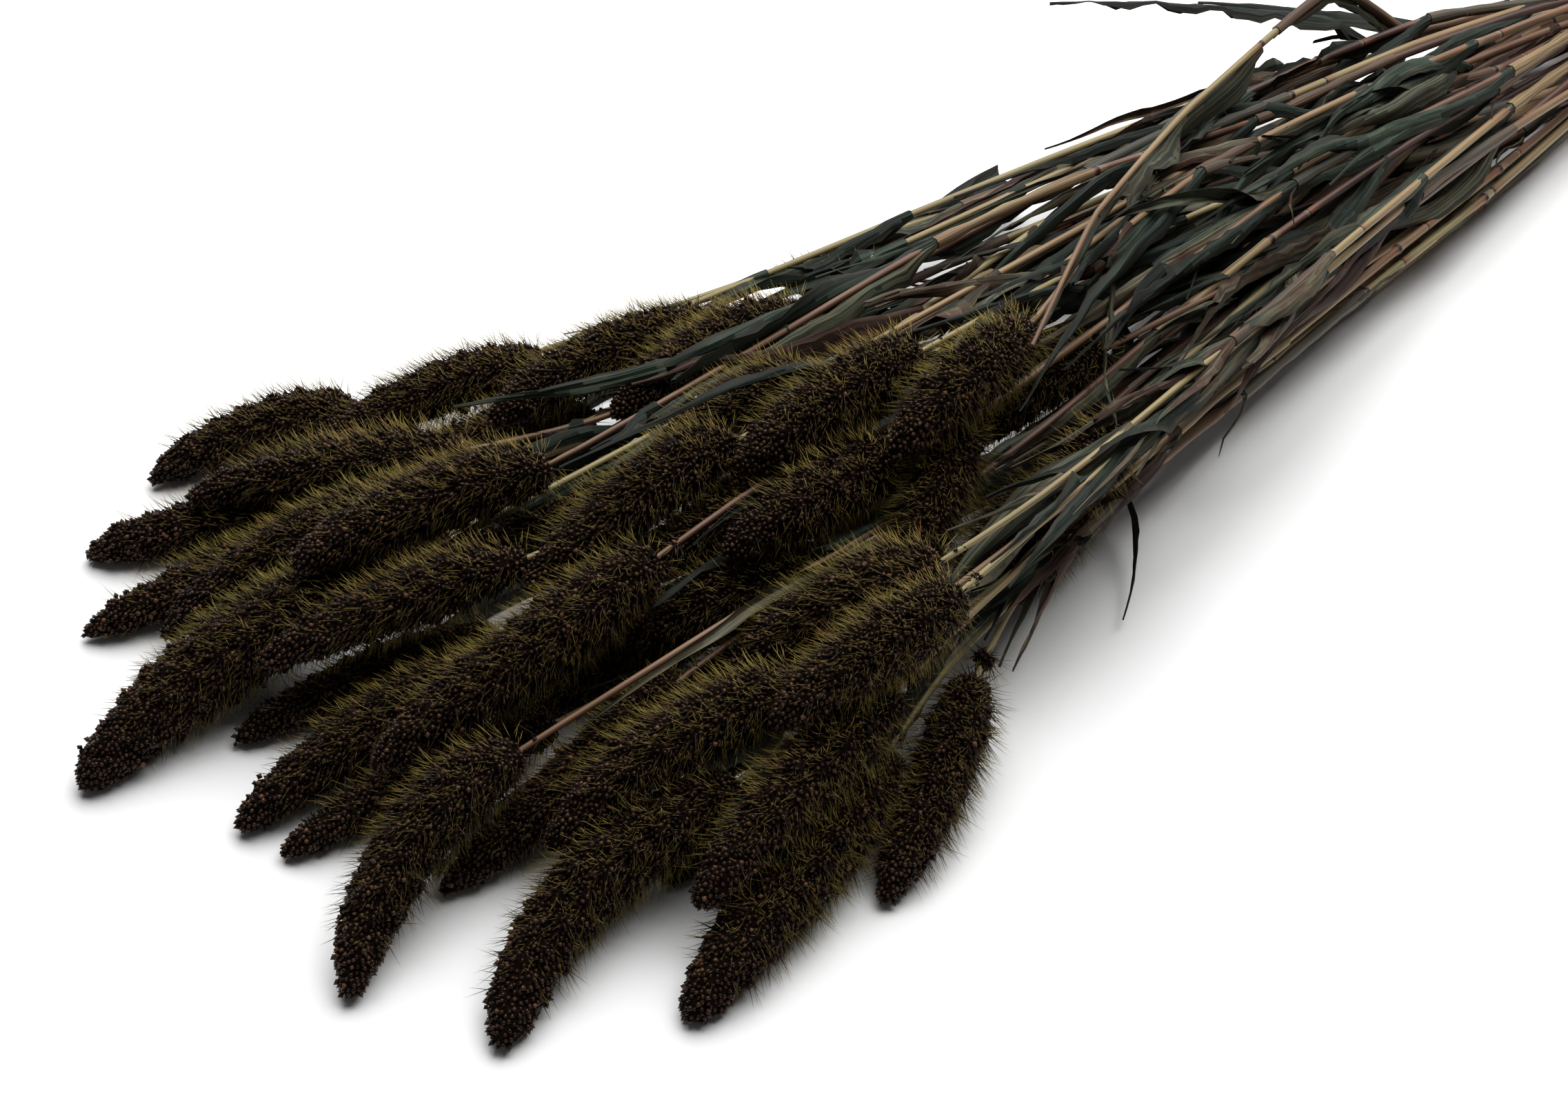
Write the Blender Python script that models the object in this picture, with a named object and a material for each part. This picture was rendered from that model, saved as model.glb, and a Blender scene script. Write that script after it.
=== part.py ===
"""A tied bunch of dried foxtail millet, lying on its side.

Forty-four stalks run through one elastic band near their cut ends and fan out to their seed heads.
The heads lie towards -X, the cut ends towards +X, Z is up and the bunch lies on Z = 0.
Every length in this file is in millimetres until a mesh is written, which is in metres.
"""
import math
import random

import bmesh
import bpy
import numpy as np

MM = 0.001

# The band that holds the stalks, and the cut ends behind it
TIE_X = 470.0
TIE_Y = 44.0
TIE_LENGTH = 12.0
TIE_WALL = 1.6
TIE_GAP = 0.3
TIE_EDGE = 0.4
TIE_SIDES = 30
CUT_X = 532.0
CUT_UNEVEN = 10.0

# Stalks: three stand together as a cluster, five clusters in the middle of the band and ten round them
CULM_RADIUS = 1.8
NECK_RADIUS = 1.0
STALK_SIDES = 5
STALKS_TOGETHER = 3
STALK_TOUCH = 1.27
INNER_RING = 5.7
OUTER_RING = 12.0
FLARE_ACROSS = 0.0235
FLARE_UP = 0.020
ARRIVE_SHARE = 0.5
CUT_SPREAD = 0.2
STALK_POINTS = 10

# Seed heads: a core with rows of tufts, each a little thicker in the middle than at its ends
HEAD_POINTS = 6
HEAD_CROWN = 2.5
HEAD_LOOSE_BOW = 3.0
HEAD_NECK = 0.62
HEAD_SEAT = 0.35
TUFT_COLUMNS = 8
TUFT_PITCH = 7.8
TUFT_LEAN = 2.6
TUFT_VALLEY = 0.74
TUFT_UNEVEN = (0.9, 1.0)
VALLEY_UNEVEN = (0.94, 1.04)
PRESSED_FLAT = 0.7

# Dried blades: sizes, then how far each leaves its stalk, droops and twists
BLADE_POINTS = 5
BLADE_LENGTHS = (95.0, 180.0)
BLADE_HALF_WIDTHS = (2.6, 4.2)
BLADE_RIB = 1.1
BLADE_RIB_THINS = 0.55
BLADE_FOLD = 0.45
BLADE_INSIDE = 0.87
BLADE_WAVE = 0.5
BLADE_LEAVES = (3.0, 12.0)
BLADE_LIFT = (-0.08, 0.22)
BLADE_DROOP = 0.09
BLADE_TWIST = 1.6
BLADE_FLOOR = 3.0
BLADE_JOINTS = (2, 3, 4, 5, 6)
SECOND_BLADE_EVERY = 6
EDGE_OF_FAN = 12.0

# How freely each kind of piece moves aside, and how stiffly it keeps its bends
STALK, HEAD, BLADE = range(3)
EASE = (1.0, 0.35, 1.6)
STIFFNESS = (0.12, 0.5, 0.06)
CLEAR = 0.25
BEND_ROUNDS = 520
LOOK_EVERY = 8
LOOK_AROUND = 8.0
OVERSHOOT = 0.02
SHARED = 0.5
HELD_UNTIL = 0.67
FREE_FROM = 0.82
BEND_KEPT = 0.2
BEND_HELD = 0.6
LENGTH_KEPT = 0.35
PLACE_KEPT = 0.06
SINK = 0.11
TIP_DIP = 0.5

# Direction in which a head gives way first, so that the fan keeps its look from the front left
GIVE = np.array([0.4056, 0.5792, -0.7071])
GIVE_SHARE = 0.93

# One line a head: middle of its tip, middle of its base, thickness, sideways bow
HEADS = [
    ((-163, 152, 7), (-90, 132, 16), 20, -3),
    ((-118, 118, 24), (-26, 112, 26), 21, -3),
    ((-162, 118, 26), (-74, 80, 26), 19, 0),
    ((-197, 132, 7), (-100, 98, 14), 19, 0),
    ((-196, 74, 18), (-94, 76, 24), 21, 0),
    ((-213, 98, 7), (-122, 88, 12), 19, 0),
    ((-179, 78, 7), (-96, 62, 20), 18, 0),
    ((-241, 38, 7), (-128, 40, 34), 26, -5),
    ((-182, 26, 40), (-96, 4, 56), 20, 0),
    ((-193, 28, 7), (-104, 12, 16), 19, 0),
    ((-209, -6, 9), (-112, -16, 38), 23, -4),
    ((-203, -22, 7), (-110, -32, 18), 18, 0),
    ((-174, -32, 40), (-68, -22, 58), 25, 2),
    ((-211, -80, 7), (-134, -52, 42), 24, -11),
    ((-169, -62, 7), (-74, -46, 26), 20, 0),
    ((-183, -120, 7), (-84, -90, 34), 24, -8),
    ((-146, -86, 34), (-54, -84, 50), 24, -2),
    ((-120, -128, 34), (-30, -100, 44), 23, 0),
    ((-135, -144, 7), (-34, -106, 24), 23, 3),
    ((-63, -142, 7), (6, -96, 22), 22, 0),
    ((-113, -98, 7), (-24, -78, 20), 18, 2),
    ((-70, -90, 46), (2, -90, 60), 23, 2),
    ((-72, -74, 52), (2, -82, 66), 24, 0),
    ((-18, -88, 60), (40, -34, 72), 21, -3),
    ((12, -38, 72), (80, -22, 78), 23, 3),
    ((52, -30, 50), (110, -30, 62), 21, 0),
    ((-28, -12, 66), (48, -6, 74), 24, 0),
    ((-44, 12, 64), (14, 4, 70), 22, 0),
    ((-34, 50, 50), (46, 54, 50), 24, -3),
    ((-66, 80, 40), (24, 78, 42), 23, -4),
    ((-14, 124, 16), (62, 88, 20), 20, 0),
    ((72, 112, 18), (100, 74, 20), 16, 0),
    ((-154, 50, 42), (-70, 30, 58), 24, 0),
    ((-95, 110, 7), (-22, 86, 16), 20, 0),
    ((-130, 40, 24), (-48, 28, 38), 20, 0),
    ((-104, -8, 56), (-20, 6, 68), 23, 0),
    ((-80, -20, 50), (4, -12, 62), 22, 0),
    ((-46, -36, 62), (32, -44, 70), 24, 0),
    ((-92, -28, 36), (-10, -48, 52), 22, 0),
    ((-102, -46, 20), (-18, -60, 34), 22, 4),
    ((-125, -16, 9), (-34, -24, 26), 22, 0),
    ((40, -66, 36), (102, -50, 48), 21, 0),
    ((14, -70, 24), (70, -50, 42), 20, 0),
    ((39, -66, 7), (100, -42, 18), 18, 0),
]

# Blades that lie clear of the rest: head number, joint, places after the joint, half width, twist
LOOSE_BLADES = [
    (20, 7, ((98, -62, 17), (92, -73, 11), (83, -83, 6), (72, -91, 4)), 2.8, 0.3),
    (30, 3, ((291, 75, 64), (204, 43, 74), (130, 6, 82), (62, -44, 90)), 2.6, 0.9),
    (31, 3, ((322, 82, 48), (296, 102, 52), (266, 124, 54), (232, 150, 52)), 4.4, 0.8),
]


def clusters():
    """Sorts the stalks into lanes across the bunch and layers up it, three stalks to a cluster."""
    lane_size = STALKS_TOGETHER * 3
    across = sorted(range(len(HEADS)), key=lambda n: HEADS[n][1][1])
    found = []
    for start in range(0, len(across), lane_size):
        lane = sorted(across[start:start + lane_size], key=lambda n: HEADS[n][1][2])
        found += [lane[n:n + STALKS_TOGETHER] for n in range(0, len(lane), STALKS_TOGETHER)]
    return found


def cluster_places():
    """Middles of the fifteen clusters in the band: five round its middle, ten round those."""
    places = []
    for count, radius, turn in ((5, INNER_RING, 90), (10, OUTER_RING, 72)):
        for n in range(count):
            angle = math.radians(turn + 360 * n / count)
            places.append((radius * math.cos(angle), radius * math.sin(angle)))
    places.sort()
    return [p for n in range(0, len(places), 3) for p in sorted(places[n:n + 3], key=lambda q: q[1])]


def tie_inside():
    """Inner radius of the band, which lies close round the outermost stalks."""
    spread = OUTER_RING * CUT_SPREAD * TIE_LENGTH / (CUT_X - TIE_X + TIE_LENGTH / 2)
    return OUTER_RING + STALK_TOUCH + CULM_RADIUS + spread + TIE_GAP


def stalk_radius(k):
    """Radius of a stalk at one of its points: even up to the band, then thinner towards its head."""
    return CULM_RADIUS + (NECK_RADIUS - CULM_RADIUS) * max(0, k - 1) / (STALK_POINTS - 2)


def head_swelling(t):
    """Thickness of a head as a share of its full one, from its base at 0 to its tip at 1."""
    return min(1.0, 0.60 + 1.6 * t) * (1.0 - 0.48 * max(0.0, (t - 0.35) / 0.65) ** 1.7)


def blade_width(t):
    """Half width of a blade as a share of its widest, from its root at 0 to its tip at 1."""
    return max(0.12, min(1.0, 0.55 + 1.8 * t) * (1.0 - t ** 1.8))


def between(start, start_way, end, end_way, count):
    """Points on the cubic that leaves one place along one way and reaches the next along another."""
    t = np.linspace(0.0, 1.0, count)[:, None]
    return ((2 * t ** 3 - 3 * t ** 2 + 1) * start + (t ** 3 - 2 * t ** 2 + t) * start_way
            + (3 * t ** 2 - 2 * t ** 3) * end + (t ** 3 - t ** 2) * end_way)


def size_of(v):
    return math.sqrt(float((v * v).sum()))


def unit(v):
    return v / size_of(v)


def stalk_routes():
    """Every stalk's points, from its cut end through the band to its head's base, then on to the tip."""
    rng = random.Random(7)
    middle_z = tie_inside() + TIE_WALL
    stalks = [None] * len(HEADS)
    for cluster, (members, (y, z)) in enumerate(zip(clusters(), cluster_places())):
        for place, n in enumerate(members):
            tip, base, wide, bow = (np.array(v, float) for v in HEADS[n])
            turn = math.atan2(z, y) + math.tau * place / STALKS_TOGETHER
            slot = np.array([TIE_X, TIE_Y + y + STALK_TOUCH * math.cos(turn),
                             middle_z + z + STALK_TOUCH * math.sin(turn)])
            cut = slot + [CUT_X - TIE_X - rng.uniform(0, CUT_UNEVEN), CUT_SPREAD * y, CUT_SPREAD * z]
            front = slot - [TIE_LENGTH / 2, 0, 0]
            reach = size_of(base - front)
            leave = unit(np.array([-1.0, FLARE_ACROSS * y, FLARE_UP * z])) * reach
            side = unit(np.array([base[1] - tip[1], tip[0] - base[0], 0.0]))
            arrive = unit(unit(tip - base) + side * bow * 4 / size_of(tip - base)) * reach * ARRIVE_SHARE
            stem = between(front, leave, base, arrive, STALK_POINTS - 1)
            t = np.linspace(0, 1, HEAD_POINTS)[1:, None]
            arch = 4 * t * (1 - t)
            bow = bow if bow else rng.uniform(-HEAD_LOOSE_BOW, HEAD_LOOSE_BOW)
            head = base + (tip - base) * t + side * arch * bow + np.array([0, 0, HEAD_CROWN]) * arch
            points = np.vstack([cut, stem, head])
            points[:, 2] = np.maximum(points[:, 2], CULM_RADIUS)
            stalks[n] = {"cluster": cluster, "wide": float(wide), "points": points}
    return stalks


def blade_routes(stalks):
    """A dried blade or two on each stalk, leaning off along it and drooping, then the loose ones."""
    rng = random.Random(12)
    middle = np.mean([stalk["points"][:STALK_POINTS] for stalk in stalks], axis=0)
    blades = []
    for n, stalk in enumerate(stalks):
        for joint in rng.sample(BLADE_JOINTS, 2 if n % SECOND_BLADE_EVERY == 0 else 1):
            root, ahead = stalk["points"][joint], stalk["points"][joint + 1]
            way = unit(ahead - root)
            outward = root[1] - middle[joint][1]
            hand = rng.choice([-1, 1])
            hand = hand if abs(outward) < EDGE_OF_FAN else math.copysign(1, outward)
            turn = math.radians(rng.uniform(*BLADE_LEAVES)) * hand
            way = np.array([way[0] * math.cos(turn) - way[1] * math.sin(turn),
                            way[0] * math.sin(turn) + way[1] * math.cos(turn),
                            way[2] + rng.uniform(*BLADE_LIFT)])
            step = rng.uniform(*BLADE_LENGTHS) / (BLADE_POINTS - 1)
            points = [root]
            for _ in range(BLADE_POINTS - 1):
                points.append(points[-1] + unit(way) * step)
                way = unit(way) - [0, 0, BLADE_DROOP]
            points = np.array(points)
            points[:, 2] = np.maximum(points[:, 2], BLADE_FLOOR)
            blades.append({"stalk": n, "joint": joint, "points": points,
                           "half": rng.uniform(*BLADE_HALF_WIDTHS),
                           "twist": rng.uniform(-BLADE_TWIST, BLADE_TWIST)})
    for number, joint, places, half, twist in LOOSE_BLADES:
        root = stalks[number - 1]["points"][joint]
        blades.append({"stalk": number - 1, "joint": joint, "half": half, "twist": twist,
                       "points": np.vstack([root, np.array(places, float)])})
    return blades


def gather(stalks, blades):
    """Lists every point, every straight piece between two points, and every bend at a point.

    A point has its place, its radius, its kind and whether it is fixed. A piece has its two points, its
    kind, its stalk, its cluster and its radius at each end. A bend has three points and a stiffness.
    """
    points, pieces, bends = [], [], []
    for n, stalk in enumerate(stalks):
        stalk["first"] = first = len(points)
        total = len(stalk["points"])
        for k, point in enumerate(stalk["points"]):
            in_head = k >= STALK_POINTS - 1
            share = (k - STALK_POINTS + 1) / (HEAD_POINTS - 1)
            radius = stalk["wide"] / 2 * head_swelling(share) if in_head else stalk_radius(k)
            points.append((*point, radius, HEAD if in_head else STALK, k <= 1))
        for k in range(total - 1):
            in_head = k >= STALK_POINTS - 1
            end = NECK_RADIUS if k == STALK_POINTS - 2 else points[first + k + 1][3]
            pieces.append((first + k, first + k + 1, HEAD if in_head else STALK, n, stalk["cluster"],
                           points[first + k][3], end))
        for k in range(1, total - 1):
            stiffness = STIFFNESS[HEAD if k >= STALK_POINTS - 1 else STALK]
            bends.append((first + k - 1, first + k, first + k + 1, stiffness))
    for blade in blades:
        chain = [stalks[blade["stalk"]]["first"] + blade["joint"]]
        halves = [blade["half"] * blade_width(k / (BLADE_POINTS - 1)) for k in range(BLADE_POINTS)]
        for k, point in enumerate(blade["points"][1:], 1):
            chain.append(len(points))
            points.append((*point, halves[k], BLADE, False))
        for k in range(BLADE_POINTS - 1):
            pieces.append((chain[k], chain[k + 1], BLADE, blade["stalk"],
                           stalks[blade["stalk"]]["cluster"], halves[k], halves[k + 1]))
        for k in range(1, BLADE_POINTS - 1):
            bends.append((chain[k - 1], chain[k], chain[k + 1], STIFFNESS[BLADE]))
        blade["chain"] = chain
    return np.array(points, float), np.array(pieces, float), np.array(bends, float)


def total_at(index, moves, size):
    """Sums the moves that land on each point."""
    return np.stack([np.bincount(index, weights=moves[:, c], minlength=size) for c in range(3)], axis=1)


def nearest(x, start, end, i, j):
    """Where each pair of straight pieces comes closest: the share along each, and the way between."""
    from_i, from_j = x[start[i]], x[start[j]]
    run_i, run_j = x[end[i]] - from_i, x[end[j]] - from_j
    apart = from_i - from_j
    ii, jj, ij = (run_i * run_i).sum(1), (run_j * run_j).sum(1), (run_i * run_j).sum(1)
    ia, ja = (run_i * apart).sum(1), (run_j * apart).sum(1)
    spread = ii * jj - ij * ij
    s = np.where(spread > 1e-9, np.clip((ij * ja - ia * jj) / np.maximum(spread, 1e-9), 0, 1), 0.5)
    t = np.clip((ij * s + ja) / jj, 0, 1)
    s = np.clip((t * ij - ia) / ii, 0, 1)
    t = np.clip((ij * s + ja) / jj, 0, 1)
    return s, t, (from_i + run_i * s[:, None]) - (from_j + run_j * t[:, None])


def bend_clear(stalks, blades):
    """Bends stalks, heads and blades until none runs through another, and rests them on the surface.

    Pieces of one cluster may cross, because they are fused. Each round pushes apart what is too close,
    then brings back each bend, each length, and each head's place as seen along GIVE.
    """
    points, pieces, bends = gather(stalks, blades)
    x, radius, kind_at, fixed = points[:, :3].copy(), points[:, 3], points[:, 4], points[:, 5] > 0
    size = len(x)
    start, end, kind, owner, cluster = (pieces[:, c].astype(int) for c in range(5))
    wide_start, wide_end = pieces[:, 5] + CLEAR, pieces[:, 6] + CLEAR
    before, here, after = (bends[:, c].astype(int) for c in range(3))
    ease = np.where(fixed, 0.0, np.array(EASE)[kind_at.astype(int)])
    in_head = (kind_at == HEAD) * 1.0
    lowest = radius.copy()
    lowest[[stalk["first"] + STALK_POINTS + HEAD_POINTS - 2 for stalk in stalks]] *= TIP_DIP
    home, rest = x.copy(), x[here] - (x[before] + x[after]) / 2
    length = np.sqrt(((x[end] - x[start]) ** 2).sum(1))
    i, j = np.triu_indices(len(start), 1)
    one_stalk = (owner[i] == owner[j]) & ((kind[i] + kind[j]) != HEAD + BLADE)
    one_node = (cluster[i] == cluster[j]) & (kind[i] != HEAD) & (kind[j] != HEAD)
    i, j = i[~(one_stalk | one_node)], j[~(one_stalk | one_node)]
    for number in range(BEND_ROUNDS):
        hold = min(1.0, max(0.0, (FREE_FROM - number / BEND_ROUNDS) / (FREE_FROM - HELD_UNTIL)))
        if number % LOOK_EVERY == 0:
            middle = (x[start] + x[end]) / 2
            reach = np.sqrt(((x[end] - x[start]) ** 2).sum(1)) / 2 + np.maximum(wide_start, wide_end)
            close = ((middle[i] - middle[j]) ** 2).sum(1) < (reach[i] + reach[j] + LOOK_AROUND) ** 2
            p, q = i[close], j[close]
        s, t, way = nearest(x, start, end, p, q)
        gap = np.sqrt((way * way).sum(1))
        need = (wide_start[p] + (wide_end[p] - wide_start[p]) * s
                + wide_start[q] + (wide_end[q] - wide_start[q]) * t)
        hit = need > gap
        s, t, a, b = s[hit], t[hit], p[hit], q[hit]
        way = way[hit] / np.maximum(gap[hit], 1e-6)[:, None]
        ends = [(start[a], 1 - s, 1), (end[a], s, 1), (start[b], 1 - t, -1), (end[b], t, -1)]
        give = sum(share * share * ease[at] for at, share, _ in ends)
        amount = (need[hit] - gap[hit] + OVERSHOOT) / np.maximum(give, 1e-6)
        move, times = np.zeros_like(x), np.zeros(size)
        for at, share, sign in ends:
            weight = share * ease[at]
            move += total_at(at, way * (amount * weight * sign)[:, None], size)
            times += np.bincount(at, weights=(weight > 0) * 1.0, minlength=size)
        x += move / np.maximum(1.0, times * SHARED)[:, None]
        bend = (x[before] + x[after]) / 2 + rest - x[here]
        bend *= (bends[:, 3] * (BEND_KEPT + BEND_HELD * hold) * (ease[here] > 0))[:, None]
        x += total_at(here, bend, size)
        run = x[end] - x[start]
        now = np.sqrt((run * run).sum(1))
        fix = run * ((now - length) / now / np.maximum(ease[start] + ease[end], 1e-6) * LENGTH_KEPT)[:, None]
        x += total_at(start, fix * ease[start][:, None], size) - total_at(end, fix * ease[end][:, None], size)
        off = home - x
        in_view = off - GIVE_SHARE * (off @ GIVE)[:, None] * GIVE
        x += in_view * (in_head * PLACE_KEPT * hold)[:, None]
        x[:, 2] = np.maximum(x[:, 2] - in_head * SINK * hold, lowest)
        x[fixed] = home[fixed]
    for stalk in stalks:
        stalk["points"] = x[stalk["first"]:stalk["first"] + STALK_POINTS + HEAD_POINTS - 1]
    for blade in blades:
        blade["points"] = x[blade["chain"]]


def frames(points, first_side):
    """A way along, a way to the side and a way out at each point, turning as little as they can."""
    along = [unit(v) for v in np.gradient(points, axis=0)]
    side, sides, outs = first_side, [], []
    for way in along:
        side = unit(side - way * float((side * way).sum()))
        sides.append(side)
        outs.append(np.cross(way, side))
    return along, sides, outs


def new_object(name, corners, faces, material, smooth_up_to=0.0):
    """A mesh object in metres, shaded smooth wherever its faces meet at less than the angle given."""
    mesh = bpy.data.meshes.new(name)
    mesh.from_pydata([tuple(float(v) * MM for v in c) for c in corners], [], faces)
    mesh.materials.append(material)
    mesh.validate()
    if smooth_up_to:
        mesh.shade_smooth()
        mesh.set_sharp_from_angle(angle=math.radians(smooth_up_to))
    thing = bpy.data.objects.new(name, mesh)
    bpy.context.collection.objects.link(thing)
    return thing


def stalk_object(name, route, material):
    """A five-sided culm that thins towards its head and stops just short of it."""
    points = route.copy()
    points[-1] -= unit(points[-1] - points[-2]) * HEAD_SEAT
    _, sides, outs = frames(points, np.array([0.0, 1.0, 0.0]))
    corners, faces = [], []
    for k, point in enumerate(points):
        for n in range(STALK_SIDES):
            angle = math.tau * n / STALK_SIDES
            corners.append(point + stalk_radius(k) * (math.cos(angle) * sides[k] + math.sin(angle) * outs[k]))
    for k in range(len(points) - 1):
        for n in range(STALK_SIDES):
            a, b = k * STALK_SIDES + n, k * STALK_SIDES + (n + 1) % STALK_SIDES
            faces.append((a, b, b + STALK_SIDES, a + STALK_SIDES))
    faces.append(tuple(range(STALK_SIDES - 1, -1, -1)))
    last = (len(points) - 1) * STALK_SIDES
    faces.append(tuple(range(last, last + STALK_SIDES)))
    return new_object(name, corners, faces, material, smooth_up_to=80)


def blade_object(name, blade, material):
    """A dried blade, folded along its rib, waved and twisted, with like triangles above and below."""
    points = blade["points"]
    along, sides, outs = frames(points, np.array([0.0, 1.0, 0.0]))
    corners, faces = [], []
    count = len(points)
    for k, point in enumerate(points):
        t = k / (count - 1)
        half = blade["half"] * blade_width(t) * BLADE_INSIDE
        turn = blade["twist"] * t
        side = math.cos(turn) * sides[k] + math.sin(turn) * outs[k]
        up = np.cross(along[k], side)
        wave = BLADE_WAVE * (1 if k % 2 else -1) * math.sin(math.pi * t) / 2
        rib = BLADE_RIB * (1 - BLADE_RIB_THINS * t) / 2
        fold = half * BLADE_FOLD / 2
        corners += [point + side * half + up * (fold + wave), point + up * (rib - fold),
                    point - side * half + up * (fold - wave), point - up * (rib + fold)]
    for k in range(count - 1):
        a, b = 4 * k, 4 * (k + 1)
        for m in range(4):
            p, q = a + m, a + (m + 1) % 4
            r, s = b + m, b + (m + 1) % 4
            faces += [(p, q, s), (p, s, r)] if m in (0, 3) else [(p, q, r), (q, s, r)]
    faces.append((3, 2, 1, 0))
    last = 4 * (count - 1)
    faces.append((last, last + 1, last + 2, last + 3))
    return new_object(name, corners, faces, material)


def head_object(name, stalk, number, material):
    """A seed head: a slim core with tufts of grain standing out of it in staggered rows."""
    rng = random.Random(100 + number)
    axis = stalk["points"][STALK_POINTS - 1:]
    run = np.sqrt(((axis[1:] - axis[:-1]) ** 2).sum(1))
    reach = np.concatenate([[0.0], np.cumsum(run)])
    rows = max(8, round(reach[-1] / TUFT_PITCH))
    at = np.linspace(0, reach[-1], rows + 1)
    middle = np.stack([np.interp(at, reach, axis[:, c]) for c in range(3)], axis=1)
    along, sides, outs = frames(middle, np.cross(unit(axis[1] - axis[0]), np.array([0.0, 0.0, 1.0])))
    corners, faces = [], []
    for k in range(rows):
        full = stalk["wide"] / 2 * head_swelling(k / rows) * (HEAD_NECK if k == 0 else 1.0)
        for n in range(TUFT_COLUMNS):
            angle = math.tau * n / TUFT_COLUMNS - math.pi / 2
            tuft = (k + n) % 2 == 0
            radius = full * (rng.uniform(*TUFT_UNEVEN) if tuft else TUFT_VALLEY * rng.uniform(*VALLEY_UNEVEN))
            lean = TUFT_LEAN if tuft and 0 < k < rows - 1 else 0.0
            corner = middle[k] + along[k] * lean
            corner = corner + radius * (math.cos(angle) * sides[k] + math.sin(angle) * outs[k])
            corners.append(corner)
    corners.append(middle[rows])
    for k in range(rows - 1):
        for n in range(TUFT_COLUMNS):
            a, b = k * TUFT_COLUMNS + n, k * TUFT_COLUMNS + (n + 1) % TUFT_COLUMNS
            c, d = a + TUFT_COLUMNS, b + TUFT_COLUMNS
            faces += [(a, b, c), (b, d, c)] if (k + n) % 2 == 0 else [(a, b, d), (a, d, c)]
    faces.append(tuple(range(TUFT_COLUMNS - 1, -1, -1)))
    last = (rows - 1) * TUFT_COLUMNS
    faces += [(last + n, last + (n + 1) % TUFT_COLUMNS, len(corners) - 1) for n in range(TUFT_COLUMNS)]
    for corner in corners:
        if corner[2] < PRESSED_FLAT:
            corner[2] = 0.0
    return new_object(name, corners, faces, material)


def tie_object(name, material):
    """An elastic band round the stalks: one cross-section spun about X, with a flat side to lie on."""
    corner_share = 1 / math.cos(math.pi / TIE_SIDES)
    inside, outside = tie_inside() * corner_share, (tie_inside() + TIE_WALL) * corner_share
    half = TIE_LENGTH / 2
    section = [(inside, -half), (outside - TIE_EDGE, -half), (outside, -half + TIE_EDGE),
               (outside, half - TIE_EDGE), (outside - TIE_EDGE, half), (inside, half)]
    middle = np.array([TIE_X, TIE_Y, tie_inside() + TIE_WALL])
    first = math.pi / TIE_SIDES - math.pi / 2
    shape = bmesh.new()
    for radius, x in section:
        corner = middle + [x, radius * math.cos(first), radius * math.sin(first)]
        shape.verts.new(corner * MM)
    ring = list(shape.verts)
    edges = [shape.edges.new((ring[n], ring[(n + 1) % len(ring)])) for n in range(len(ring))]
    bmesh.ops.spin(shape, geom=ring + edges, cent=middle * MM, axis=(1, 0, 0), angle=math.tau,
                   steps=TIE_SIDES, use_merge=True)
    bmesh.ops.recalc_face_normals(shape, faces=shape.faces)
    mesh = bpy.data.meshes.new(name)
    shape.to_mesh(mesh)
    shape.free()
    mesh.materials.append(material)
    mesh.shade_smooth()
    mesh.set_sharp_from_angle(angle=math.radians(30))
    thing = bpy.data.objects.new(name, mesh)
    bpy.context.collection.objects.link(thing)
    return thing


def keep_outside(mesh):
    """Fills the small hollows that joining has sealed, by keeping only the outermost shell."""
    shape = bmesh.new()
    shape.from_mesh(mesh)
    waiting, shells = set(shape.verts), []
    while waiting:
        shell, edge = set(), [waiting.pop()]
        while edge:
            corner = edge.pop()
            shell.add(corner)
            for link in corner.link_edges:
                other = link.other_vert(corner)
                if other in waiting:
                    waiting.remove(other)
                    edge.append(other)
        shells.append(shell)
    largest = max(shells, key=len)
    spare = [corner for corner in shape.verts if corner not in largest]
    bmesh.ops.delete(shape, geom=spare, context="VERTS")
    shape.to_mesh(mesh)
    shape.free()


def fuse(name, members, material):
    """Joins the stalks and blades of one cluster into one solid."""
    group = bpy.data.collections.new(name + "_members")
    for member in members[1:]:
        group.objects.link(member)
    body = members[0]
    join = body.modifiers.new("join", "BOOLEAN")
    join.operation = "UNION"
    join.operand_type = "COLLECTION"
    join.collection = group
    join.solver = "MANIFOLD"
    bpy.context.view_layer.update()
    mesh = bpy.data.meshes.new_from_object(body.evaluated_get(bpy.context.evaluated_depsgraph_get()))
    keep_outside(mesh)
    body.modifiers.clear()
    body.data = mesh
    mesh.materials.clear()
    mesh.materials.append(material)
    for member in members[1:]:
        bpy.data.objects.remove(member)
    bpy.data.collections.remove(group)
    body.name = name
    return body


def finish(name, colour, roughness):
    material = bpy.data.materials.new(name)
    material.use_nodes = True
    shader = material.node_tree.nodes["Principled BSDF"]
    shader.inputs["Base Color"].default_value = (*colour, 1.0)
    shader.inputs["Roughness"].default_value = roughness
    shader.inputs["Metallic"].default_value = 0.0
    return material


def stand_on_origin(things):
    """Carries every object on one empty, which puts the middle of the bunch's underside at the origin."""
    corners = [v.co for thing in things for v in thing.data.vertices]
    low = [min(c[k] for c in corners) for k in range(3)]
    high = [max(c[k] for c in corners) for k in range(3)]
    carrier = bpy.data.objects.new("carrier", None)
    carrier.location = (-(low[0] + high[0]) / 2, -(low[1] + high[1]) / 2, -low[2])
    bpy.context.collection.objects.link(carrier)
    for thing in things:
        thing.parent = carrier


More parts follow.
